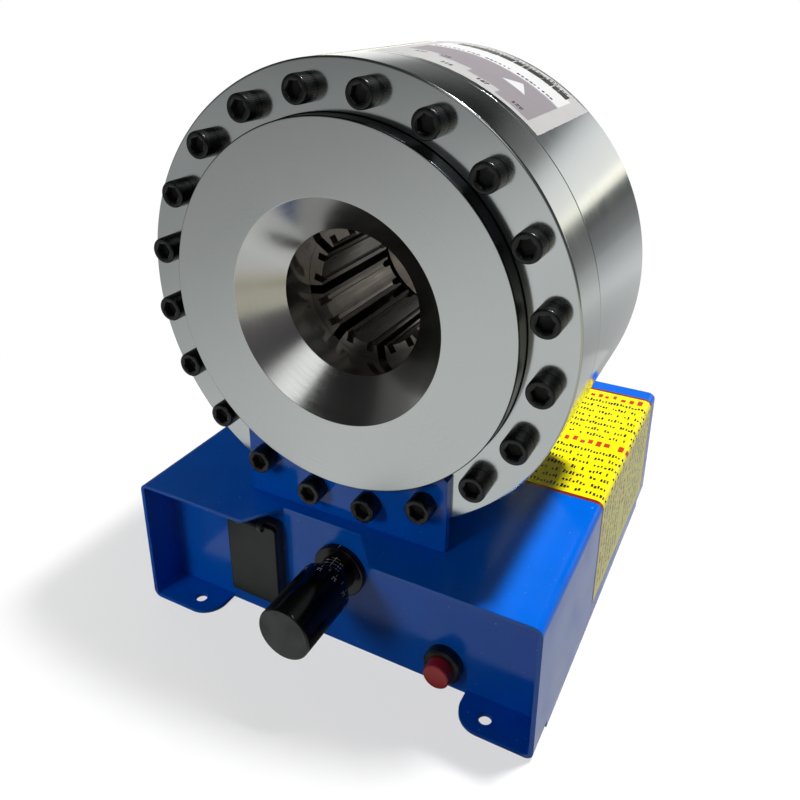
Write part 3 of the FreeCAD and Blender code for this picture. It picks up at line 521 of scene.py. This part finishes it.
polished_face = turned_steel("polished_ring_steel", "#c0c4c4", 0.15, 0.2, 0.1, ring=0.5, lines=0.006)
ring_outline = eased([(122.6, 0.0, 0.5), (153.9, 0.0, 1.3), (153.9, 37.5, 0.25), (151.2, 37.5, 0),
                      (151.2, 38.0, 0), (127.6, 38.0, 0), (127.6, 18.0, 0), (122.6, 18.0, 0)])
ring = turned("flange_ring", ring_outline, polished_face, turns=360)
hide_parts("front_flange")
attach(ring, "base")


# Socket head cap screws: forged and rolled alloy steel with a black oxide skin, fine straight knurling on
# the head and a broached hexagon. M12 in the ring and through the plates, M10 in the rear cover.

screw_columns, screw_bands, socket_bands = 180, 20, 4
m12 = {"head_r": 9.0, "high": 12.0, "across": 10.0, "deep": 6.0, "shank_r": 6.0}
m10 = {"head_r": 8.0, "high": 10.0, "across": 8.0, "deep": 5.0, "shank_r": 5.0}


def screws(name, places, shank_end, direction, seed, head_r, high, across, deep, shank_r):
    """All the screws of one size as one mesh. Each is a closed surface of turn t and row: a row has its own
    radius function of t (circle, knurl of 45 teeth, or hexagon: half the width over cos of the turn from
    the nearest flat's middle) and its own depth from the seat. Every screw has its own random turn."""
    t = np.linspace(0, 2 * math.pi, screw_columns + 1)
    circle = np.ones_like(t)
    hexagon = (across / 2) / np.cos((t + math.pi / 6) % (math.pi / 3) - math.pi / 6)
    knurl = head_r - 0.16 * np.abs(2 * ((t * 45 / (2 * math.pi)) % 1) - 1)
    top = -high
    rows = [(0.0 * circle, shank_end), ((shank_r - 1) * circle, shank_end),
            (shank_r * circle, shank_end - 1), (shank_r * circle, 0.0),
            ((head_r - 0.4) * circle, 0.0), ((head_r - 0.1) * circle, -0.3),
            (knurl, -0.8), (knurl, top + 1.9), ((head_r - 0.12) * circle, top + 1.4),
            ((head_r - 0.12) * circle, top + 1.2), ((head_r - 0.2) * circle, top + 0.85),
            ((head_r - 0.5) * circle, top + 0.4), ((head_r - 0.95) * circle, top + 0.08),
            ((head_r - 1.25) * circle, top), ((across * 0.5774 + 0.55) * circle, top),
            ((across * 0.5774 + 0.25) * circle, top + 0.12), (hexagon, top + 0.55), (hexagon, top + 0.75),
            (hexagon, top + deep), (0.8 * hexagon, top + deep + 0.15), (0.0 * circle, top + deep + 0.9)]
    r = np.array([row[0] for row in rows])
    y = np.array([row[1] for row in rows])
    turn = np.random.default_rng(seed).uniform(0, 2 * math.pi, len(places))[:, None, None]
    p = np.asarray(places, float)
    grid = np.stack(np.broadcast_arrays(p[:, 0, None, None] + r * np.cos(t + turn),
                                        p[:, 1, None, None] + direction * y[:, None],
                                        p[:, 2, None, None] + r * np.sin(t + turn)), -1)
    return sheet_mesh(name, grid, closed=True)


def black_oxide(name):
    """Black oxide on steel: nearly black, soft metallic gloss, and oil stains that vary it every 3 mm. The
    skin's grain is 0.02 mm in truth and drawn 0.5 mm wide."""
    made, tree, shader = surface(name, Metallic=0.4, Roughness=0.28, IOR=1.5)
    place = node(tree, "TexCoord").outputs["Object"]
    stain = node(tree, "TexNoise", {"Vector": place, "Scale": 1 / 0.003, "Detail": 4.0}).outputs["Fac"]
    tint = node(tree, "Mix", {0: stain, 6: linear("#0b0c0c"), 7: linear("#1f2122")}, data_type="RGBA")
    tree.links.new(tint.outputs[2], shader.inputs["Base Color"])
    gloss = node(tree, "MapRange", {0: stain, 1: 0.3, 2: 0.7, 3: 0.20, 4: 0.36}).outputs[0]
    tree.links.new(gloss, shader.inputs["Roughness"])
    fine = node(tree, "TexNoise", {"Vector": place, "Scale": 1 / 0.0005}).outputs["Fac"]
    bump = node(tree, "Bump", {"Height": fine, "Strength": 0.12, "Distance": 0.05 * mm}).outputs[0]
    tree.links.new(bump, shader.inputs["Normal"])
    return made


def in_socket(piece):
    """1 for the faces of a screw's hexagon and its bottom (painted shade), else 0: the last bands of every
    grid.
    """
    bands = np.repeat(np.arange(screw_bands) >= screw_bands - socket_bands, screw_columns)
    return np.tile(bands, len(piece.data.polygons) // len(bands)).astype(np.int32)


oxide = black_oxide("black_oxide_steel")
# The sockets' faces get near-black paint: painted shade in the deep hexagons.
socket_shade_paint = moulded("painted_shade_socket_black", "#050505", 0.6, grain=0.0004, depth=0.1)
screw_circle, plate_half, plate_sheet = 137.0, 69.0, 5.0
ring_angles = np.radians(99.0 + 18.0 * np.arange(20))
ring_x, ring_z = screw_circle * np.cos(ring_angles), head_z + screw_circle * np.sin(ring_angles)
on_plate = (ring_z < head_z) & (np.abs(ring_x) < plate_half)
seats = np.where(on_plate, head_front - plate_sheet, head_front)
ring_screws = screws("ring_screws", np.stack([ring_x, seats, ring_z], 1), shank_end=57.0, direction=1.0,
                     seed=3, **m12)
rear_seats = np.full(20, head_front + shell_back + plate_sheet)
plate_screws = screws("plate_screws", np.stack([ring_x, rear_seats, ring_z], 1)[on_plate], shank_end=24.0,
                      direction=-1.0, seed=5, **m12)
cover_circle = 98.0
cover_angles = np.radians(30.0 * np.arange(12))
cover_places = np.stack([cover_circle * np.cos(cover_angles), np.full(12, head_front + shell_back + 20.0),
                         head_z + cover_circle * np.sin(cover_angles)], 1)
cover_screws = screws("cover_screws", cover_places, shank_end=31.0, direction=-1.0, seed=7, **m10)
for piece, stands_for in ((ring_screws, "flange_screws"), (plate_screws, "rear_plate_screws"),
                          (cover_screws, "rear_cover_screws")):
    wear(piece, oxide)
    piece.data.materials.append(socket_shade_paint)
    piece.data.polygons.foreach_set("material_index", in_socket(piece))
    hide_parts(stands_for)
    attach(piece, "base")


# Dies and keys: eight hardened tool steel segments with ribbed, arched bores, ground on their faces and
# darkened by oil. Each slides on a key in the back of the mouth plate.

def ground_steel(name, colour, rough):
    """Ground tool steel: metal drawn dull by straight grinding marks along the axis, with dark oil stains
    16 mm wide. The marks are 0.1 mm apart in truth and drawn 1.2 mm apart so that they show."""
    made, tree, shader = surface(name, Metallic=1.0, Roughness=rough)
    place = node(tree, "TexCoord").outputs["Object"]
    drawn = node(tree, "Mapping", {"Vector": place, "Scale": (1 / 0.0012, 1 / 0.03, 1 / 0.0012)}).outputs[0]
    marks = node(tree, "TexNoise", {"Vector": drawn, "Scale": 1.0, "Detail": 3.0}).outputs["Fac"]
    stain = node(tree, "TexNoise", {"Vector": place, "Scale": 1 / 0.016, "Detail": 5.0}).outputs["Fac"]
    dark = tuple(0.45 * c for c in linear(colour)[:3]) + (1.0,)
    tint = node(tree, "Mix", {0: stain, 6: dark, 7: linear(colour)}, data_type="RGBA").outputs[2]
    tree.links.new(tint, shader.inputs["Base Color"])
    gloss = node(tree, "MapRange", {0: marks, 1: 0.3, 2: 0.7, 3: rough * 0.8, 4: rough * 1.4}).outputs[0]
    tree.links.new(gloss, shader.inputs["Roughness"])
    rounded = node(tree, "Bevel", {"Radius": 0.4 * mm}, samples=4).outputs[0]
    bump = node(tree, "Bump", {"Height": marks, "Strength": 0.2, "Distance": 0.1 * mm, "Normal": rounded})
    tree.links.new(bump.outputs[0], shader.inputs["Normal"])
    return made


die_steel = ground_steel("ground_die_steel", "#857f79", 0.32)
for k in range(1, 9):
    wear(nodes["die_%d" % k], die_steel)
    wear(nodes["die_key_%d" % k], zinc_plate)


# Main switch: black moulded frame snapped into the front panel, two press pads in its well and a hinged
# splash flap with one knuckle on a steel pin.

switch_black = moulded("black_moulded_plastic", "#27282a", 0.38)
wear(nodes["switch_frame"], switch_black)
wear(nodes["flap_pin"], zinc_plate)
wear(nodes["switch_flap"], moulded("black_flap_plastic", "#1b1c1d", 0.34, edge=1.9, shine=0.28))
for pad, colour in (("start_pad", "#0f7a34"), ("stop_pad", "#a81d1d")):
    wear(nodes[pad], moulded(pad + "_plastic", colour, 0.35))


# Limit switch and cable inlet: a small grey moulded switch screwed to a plated bracket behind the dial's
# rod, and a black moulded gland nut in the rear panel.

switch_grey = moulded("grey_switch_plastic", "#3b3b3b", 0.5)
wear(nodes["switch_bracket"], zinc_plate)
wear(nodes["limit_switch"], switch_grey)
wear(nodes["cable_gland"], switch_black)


# Setting dial: like a micrometer head. A collar and sleeve fixed in the front panel, and a long thimble on
# the screw, all turned from black anodised bar with white filled strokes.

def anodised(name, colour, rough):
    """Anodised turned bar: dense black with a tight gloss drawn across the turning lines, which are 0.1 mm
    apart in truth and drawn 0.35 mm apart."""
    made, tree, shader = surface(name, Roughness=rough, IOR=1.5, Specular_IOR_Level=0.26, Anisotropic=0.4)
    place = node(tree, "TexCoord").outputs["Object"]
    cloud = node(tree, "TexNoise", {"Vector": place, "Scale": 1 / 0.01, "Detail": 5.0}).outputs["Fac"]
    dark = tuple(0.6 * c for c in linear(colour)[:3]) + (1.0,)
    tint = node(tree, "Mix", {0: cloud, 6: dark, 7: linear(colour)}, data_type="RGBA").outputs[2]
    tree.links.new(tint, shader.inputs["Base Color"])
    gloss = node(tree, "MapRange", {0: cloud, 1: 0.3, 2: 0.7, 3: rough * 0.75, 4: rough * 1.3}).outputs[0]
    tree.links.new(gloss, shader.inputs["Roughness"])
    tree.links.new(node(tree, "Tangent", direction_type="UV_MAP", uv_map="UVMap").outputs[0],
                   shader.inputs["Tangent"])
    uv = node(tree, "UVMap", uv_map="UVMap").outputs[0]
    around = node(tree, "Mapping", {"Vector": uv, "Scale": (3.0, 1 / 0.35, 1.0)}).outputs[0]
    cut = node(tree, "TexNoise", {"Vector": around, "Scale": 1.0, "Detail": 2.0}).outputs["Fac"]
    bump = node(tree, "Bump", {"Height": cut, "Strength": 0.06, "Distance": 0.05 * mm}).outputs[0]
    tree.links.new(bump, shader.inputs["Normal"])
    return made


dial_x, dial_z = 1.5, 68.0
panel_front = -134.5
thimble_rear = panel_front - 17.0
collar_r, sleeve_r, grip_r, taper_r, grip_long, rod_bore = 20.0, 13.0, 19.2, 15.4, 54.0, 5.1
dial_black = anodised("black_anodised_bar", "#08090a", 0.16)
thimble_grey = moulded("bead_blasted_end", "#343535", 0.5, grain=0.0004, depth=0.2, shine=0.3)
collar_outline = eased([(13.05, -5.0, 0.3), (collar_r, -5.0, 1.2), (collar_r, 0.0, 0), (13.05, 0.0, 0)])
collar = turned("dial_ring", collar_outline, dial_black, 96, dial_x, dial_z, panel_front)
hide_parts("dial_collar")
sleeve_outline = eased([(rod_bore, -30.0, 0), (sleeve_r, -30.0, 0.4), (sleeve_r, 14.0, 0.3),
                        (rod_bore, 14.0, 0)])
sleeve = turned("dial_barrel", sleeve_outline, dial_black, 96, dial_x, dial_z, panel_front)
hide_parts("dial_sleeve")
for piece in (collar, sleeve):
    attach(piece, "base")
thimble_outline = eased([(0.0, -grip_long, 0), (grip_r, -grip_long, 1.4), (grip_r, -5.0, 0.5),
                         (taper_r, 0.0, 0.3), (13.3, 0.0, 0), (13.3, -44.0, 0), (rod_bore, -44.0, 0),
                         (rod_bore, -50.1, 0), (0.0, -50.1, 0)])
thimble = turned("dial_grip", thimble_outline, dial_black, 192, dial_x, dial_z, thimble_rear)
thimble.data.materials.append(thimble_grey)
centres = np.empty(3 * len(thimble.data.polygons))
thimble.data.polygons.foreach_get("center", centres)
end_face = centres[1::3] < (thimble_rear - grip_long + 0.05) * mm
thimble.data.polygons.foreach_set("material_index", end_face.astype(np.int32))
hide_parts("dial_thimble")
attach(thimble, "thimble")
for part in ("dial_nut", "dial_rod"):
    wear(nodes[part], zinc_plate)


def dial_marks(name, rects, depths, radii, front, body):
    """White marks on a turned piece of the dial. Each rectangle is (from, to) in degrees from the top
    towards +X and (front, back) in depth; its points lie at the radius that the piece has there."""
    r = np.asarray(rects, float)
    angle = np.radians(r[:, :1] + (r[:, 1:2] - r[:, :1]) * np.linspace(0, 1, 7))
    depth = np.stack([r[:, 3:4], r[:, 2:3]], 1) + np.zeros((1, 1, 7))
    radius = np.interp(depth, depths, radii) + 0.03
    grid = np.stack([dial_x + radius * np.sin(angle)[:, None], front + depth,
                     dial_z + radius * np.cos(angle)[:, None]], -1)
    made = sheet_mesh(name, grid)
    wear(made, white_fill)
    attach(made, body)


white_fill = film("white_filled_lines", "#b9b9b4")
scale = [(-0.9, 0.9, -17.4, -5.0)] + [(-16, 16, d - 0.15, d + 0.15) for d in (-15.0, -12.0, -9.0, -6.6)]
scale += [(a, a + 5, d, d + 1.2) for a in (-30, -22, 20, 28) for d in (-15.6, -12.6, -9.6)]
dial_marks("sleeve_marks", scale, [-30, 0], [sleeve_r, sleeve_r], panel_front, "base")
dial_marks("collar_mark", [(-0.6, 0.6, -3.8, -0.2)], [-5, 0], [collar_r, collar_r], panel_front, "base")
graduations = [(a - 0.5, a + 0.5, -8.0, -5.4) for a in range(0, 360, 18)]
graduations += [(a - 4.5 + 3.2 * k, a - 2.3 + 3.2 * k, d, d + 1.0) for a in range(0, 360, 36)
                for k in (0, 1, 2) for d in (-11.4, -9.8)[k % 2:]]
dial_marks("thimble_marks", graduations, [-grip_long, -5, 0], [grip_r, grip_r, taper_r], thimble_rear,
           "thimble")


# Push button: black moulded bezel with a red cap, pressed in from the front and held by a nut behind. The
# grey contact block clips on at the back.

bezel_black = moulded("black_bezel_plastic", "#0b0b0c", 0.42, edge=0.7)
red_plastic = moulded("red_moulded_plastic", "#c4191c", 0.3, edge=0.6)
wear(nodes["button_bezel"], bezel_black)
wear(nodes["button_nut"], bezel_black)
wear(nodes["button_contact"], switch_grey)
wear(nodes["button_cap"], red_plastic)


# Floor: a plain white sheet that keeps the object's shadow near it. Farther out it turns into the white of
# the backdrop, and camera, glossy and transmission rays see that white. To soft light it is grey, so that
# it throws little of it back up.

def plane(name, corners, material):
    """Flat four-sided sheet from its corners in metres."""
    mesh = bpy.data.meshes.new(name)
    mesh.from_pydata(corners, [], [(0, 1, 2, 3)])
    made = bpy.data.objects.new(name, mesh)
    bpy.context.scene.collection.objects.link(made)
    mesh.materials.append(material)
    return made


def seen_rays(tree):
    """1 for camera, glossy and transmission rays, which see a surface as it looks, and 0 for soft light."""
    rays = node(tree, "LightPath").outputs
    seen = node(tree, "Math", {0: rays["Is Camera Ray"], 1: rays["Is Glossy Ray"]}, operation="MAXIMUM")
    through = rays["Is Transmission Ray"]
    return node(tree, "Math", {0: seen.outputs[0], 1: through}, operation="MAXIMUM").outputs[0]


floor_paint = bpy.data.materials.new("white_floor_paint")
floor_paint.use_nodes = True
tree = floor_paint.node_tree
tree.nodes.remove(tree.nodes["Principled BSDF"])
glow = node(tree, "Emission", {"Color": (1, 1, 1, 1), "Strength": 1.0}).outputs[0]
seen = seen_rays(tree)
paint = node(tree, "Mix", {0: seen, 6: linear("#6e6e6e"), 7: linear("#f4f4f4")}, data_type="RGBA")
matt = node(tree, "BsdfDiffuse", {"Color": paint.outputs[2]}).outputs[0]
place = node(tree, "TexCoord").outputs["Object"]
away = node(tree, "VectorMath", {0: place}, operation="LENGTH").outputs["Value"]
white = node(tree, "MapRange", {0: away, 1: 0.2, 2: 0.75, 3: 0.62, 4: 1.0}, interpolation_type="SMOOTHSTEP")
share = node(tree, "Math", {0: seen, 1: white.outputs[0]}, operation="MULTIPLY").outputs[0]
both = node(tree, "MixShader", {0: share, 1: matt, 2: glow}).outputs[0]
tree.links.new(both, tree.nodes["Material Output"].inputs["Surface"])
plane("floor", [(-12, -12, 0), (12, -12, 0), (12, 12, 0), (-12, 12, 0)], floor_paint)

# Boards: grey, cream and black card out of the picture, lit evenly, that the polished steel mirrors as in a
# photo studio. Only mirrored rays see them. Each has a ramp of tones, up a board or across the floor.

def card(name, axis, stops):
    """Evenly lit card whose tone follows one object coordinate; stops are (metres, linear RGB), the tones
    run evenly between them."""
    made = bpy.data.materials.new(name)
    made.use_nodes = True
    tree = made.node_tree
    tree.nodes.remove(tree.nodes["Principled BSDF"])
    place = node(tree, "SeparateXYZ", {0: node(tree, "TexCoord").outputs["Object"]}).outputs[axis]
    first, last = stops[0][0], stops[-1][0]
    share = node(tree, "MapRange", {0: place, 1: first, 2: last}).outputs[0]
    ramp = node(tree, "ValToRGB", {0: share})
    points = ramp.color_ramp.elements
    while len(points) < len(stops):
        points.new(0.5)
    for point, (at, tone) in zip(points, stops):
        point.position = (at - first) / (last - first)
    for point, (at, tone) in zip(points, stops):
        point.color = (*tone, 1)
    light = node(tree, "Emission", {"Color": ramp.outputs[0], "Strength": 1.0}).outputs[0]
    tree.links.new(light, tree.nodes["Material Output"].inputs["Surface"])
    return made


def mirrored_only(board):
    """Hide a board from every ray but mirrored ones."""
    board.visible_camera = False
    board.visible_diffuse = False
    board.visible_shadow = False
    board.visible_transmission = False


board_distance, board_low, board_high = 2.2, -6.8, 52.0


def height_at(elevation, distance=board_distance):
    """Height in metres that is seen from the head at an elevation in degrees, at a level distance."""
    return head_z * mm + distance * math.tan(math.radians(elevation))


def board(name, azimuth, width, stops, low=board_low, high=board_high, distance=board_distance):
    """Upright board at an azimuth from +Y towards +X, between two elevations as seen from the head. Its
    stops are (elevation, linear RGB)."""
    a = math.radians(azimuth)
    out, side = np.array([math.sin(a), math.cos(a)]), np.array([math.cos(a), -math.sin(a)])
    half = distance * math.tan(math.radians(width / 2))
    z0, z1 = height_at(low, distance), height_at(high, distance)
    left, right = out * distance - side * half, out * distance + side * half
    material = card(name + "_card", "Z", [(height_at(e, distance), tone) for e, tone in stops])
    mirrored_only(plane(name, [(*left, z0), (*right, z0), (*right, z1), (*left, z1)], material))


def flat_board(name, x, y, height, axis, stops):
    """Level card between two x and two y, at a height, all in metres."""
    material = card(name + "_card", axis, stops)
    mirrored_only(plane(name, [(x[0], y[0], height), (x[1], y[0], height), (x[1], y[1], height),
                               (x[0], y[1], height)], material))


grey = (1.0, 1.02, 1.01)
cream = (1.0, 0.98, 0.82)
brown = (1.0, 0.92, 0.68)


def toned(share, tint=grey):
    """A share of white in a tint, as linear RGB."""
    return tuple(share * c for c in tint)


floor_z, near_z = 0.0004, 0.0008
flat_board("front_floor", (-6, 6), (-6, 0.1), floor_z, "X",
           [(-1.0, toned(0.42)), (-0.72, toned(0.46)), (-0.45, toned(0.60)), (-0.25, toned(0.78)),
            (-0.17, toned(0.84)), (-0.1, toned(0.80)), (0.15, toned(0.80)), (0.22, toned(0.70, cream)),
            (0.30, toned(0.48, brown)), (0.38, toned(0.66, cream)), (0.9, toned(0.68, cream))])
rear_shares = {0.2: 0.42, 0.45: 0.47, 0.6: 0.52, 0.75: 0.62, 0.9: 0.74, 1.05: 0.72, 1.35: 0.58, 1.7: 0.48,
               2.15: 0.40}
flat_board("rear_floor", (-6, 6), (0.1, 6), floor_z, "Y",
           [(at, toned(share)) for at, share in rear_shares.items()])
# Painted shadow: the floor's shade under the base and the object's shadow to its left, as the steel mirrors
# them.
flat_board("painted_shadow_under_base", (-0.16, 0.15), (-0.165, 0.17), near_z, "Y",
           [(-0.165, toned(0.04)), (0.17, toned(0.04))])
flat_board("left_shadow", (-0.34, -0.16), (-0.27, 0.25), near_z, "X",
           [(-0.34, toned(0.3)), (-0.22, toned(0.08))])
flat_board("right_floor", (0.15, 0.3), (-0.2, 0.42), near_z, "X",
           [(0.15, toned(0.62)), (0.3, toned(0.60))])
# Painted shade: the floor just in front of the base darkens towards it, as the steel mirrors it.
flat_board("near_floor", (-0.16, 0.16), (-0.3, -0.165), near_z, "Y",
           [(-0.3, toned(0.95)), (-0.165, toned(0.6))])
flat_board("ceiling_board", (-4, 4), (-4, 4), height_at(board_high), "X",
           [(-4, toned(0.05)), (4, toned(0.05))])
horizon = [(-6.8, toned(0.36)), (-3.2, toned(0.23)), (-1.0, toned(0.20)), (0.8, toned(0.13)),
           (3.2, toned(0.16)), (3.9, toned(0.30)), (4.6, toned(1.3, cream)),
           (6.2, toned(1.8, (1.0, 0.97, 0.84))), (8.0, toned(1.25, (1.0, 0.98, 0.93))),
           (14.5, toned(1.05)), (17.0, toned(0.80)), (19.5, toned(0.22)), (24.5, toned(0.17)),
           (27.0, toned(0.02)), (52.0, toned(0.01))]
board("rear_right_board", 22.5, 46.0, horizon)
board("rear_board", -22.5, 46.0, horizon)
board("right_board", 67.5, 46.0, [(-6.8, toned(0.34)), (-1.0, toned(0.15)), (9.0, toned(0.05))])
purple = (1.0, 0.95, 1.02)
front_stops = [(-6.8, toned(0.30, cream)), (-2.0, toned(0.17, purple)), (6.0, toned(0.12, purple)),
               (28.0, toned(0.06, purple))]
board("front_right_board", 112.5, 46.0, front_stops)
board("front_board", 157.5, 46.0, front_stops)
window_stops = [(27.0, toned(0.3)), (31.0, toned(1.0)), (36.0, toned(1.5)), (49.0, toned(1.7))]
board("window_board", 164.0, 36.0, window_stops, 27.0, 49.0, 2.0)
left_stops = [(-6.8, toned(0.44)), (4.0, toned(0.18)), (20.0, toned(0.11)), (28.0, toned(0.03)),
              (52.0, toned(0.02))]
board("front_left_board", 202.5, 46.0, left_stops)
board("left_board", 247.5, 46.0, left_stops)
board("rear_left_board", 292.5, 46.0, left_stops)

# Lamps: a small soft box high behind on the right is the main light, with a weak wide one behind on the
# left, and a round spot low in front on the left whose light fades out across the front panel.

def aimed(name, data, place, target):
    """Lamp at a place, turned towards a target."""
    made = bpy.data.objects.new(name, data)
    bpy.context.scene.collection.objects.link(made)
    back = np.asarray(place, float) - np.asarray(target, float)
    back /= np.linalg.norm(back)
    side = np.cross((0, 0, 1), back)
    side /= np.linalg.norm(side)
    up = np.cross(back, side)
    made.matrix_world = Matrix([[side[i], up[i], back[i], place[i]] for i in range(3)] + [[0, 0, 0, 1]])
    return made


def soft_box(name, place, target, size, power):
    """Square area lamp, size in metres and power in watts."""
    data = bpy.data.lights.new(name, "AREA")
    data.shape = "SQUARE"
    data.size = size
    data.energy = power
    return aimed(name, data, place, target)


def spot(name, place, target, radius, power, angle):
    """Round spot whose light fades evenly from its middle to the edge of its cone; angle in degrees."""
    data = bpy.data.lights.new(name, "SPOT")
    data.energy = power
    data.shadow_soft_size = radius
    data.spot_size = math.radians(angle)
    data.spot_blend = 1.0
    return aimed(name, data, place, target)


soft_box("key_lamp", (0.66, 0.50, 2.60), (0, 0, 0.2), 0.26, 86)
soft_box("rear_fill_lamp", (-1.5, 0.6, 0.8), (0, 0, 0.15), 0.9, 4).visible_glossy = False
spot("front_spot", (-0.753, -1.651, 0.849), (-0.2, -0.13, 0.06), 0.40, 70, 25.0).visible_glossy = False

# World: pure white to camera, glossy and transmission rays, and a weak even light on the object.

world = bpy.data.worlds.new("studio_white")
bpy.context.scene.world = world
world.use_nodes = True
tree = world.node_tree
level = node(tree, "MapRange", {0: seen_rays(tree), 3: 0.07, 4: 1.0}).outputs[0]
tree.links.new(level, tree.nodes["Background"].inputs["Strength"])
tree.nodes["Background"].inputs["Color"].default_value = (1, 1, 1, 1)

# Camera: the photograph's place and lens, found from the round edges and the straight sheet edges. The
# lens is shifted because its axis meets the picture about 100 pixels above the middle.

lens_px, middle_row = 790.0, 300.9
azimuth, elevation, roll = (math.radians(v) for v in (27.6, 21.6, 0.18))
back = np.array([math.sin(azimuth) * math.cos(elevation), -math.cos(azimuth) * math.cos(elevation),
                 math.sin(elevation)])
side = np.array([math.cos(azimuth), math.sin(azimuth), 0.0])
up = np.cross(back, side)
side, up = math.cos(roll) * side + math.sin(roll) * up, math.cos(roll) * up - math.sin(roll) * side
image_px, sensor_mm = 800, 36.0
camera_data = bpy.data.cameras.new("camera")
camera_data.sensor_width = sensor_mm
camera_data.lens = lens_px / image_px * sensor_mm
camera_data.shift_y = (middle_row - image_px / 2) / image_px
camera = bpy.data.objects.new("camera", camera_data)
bpy.context.scene.collection.objects.link(camera)
eye = (0.2465, -0.515, 0.450)
camera.matrix_world = Matrix([[side[i], up[i], back[i], eye[i]] for i in range(3)] + [[0, 0, 0, 1]])
bpy.context.scene.camera = camera
bpy.context.scene.view_settings.view_transform = "Standard"
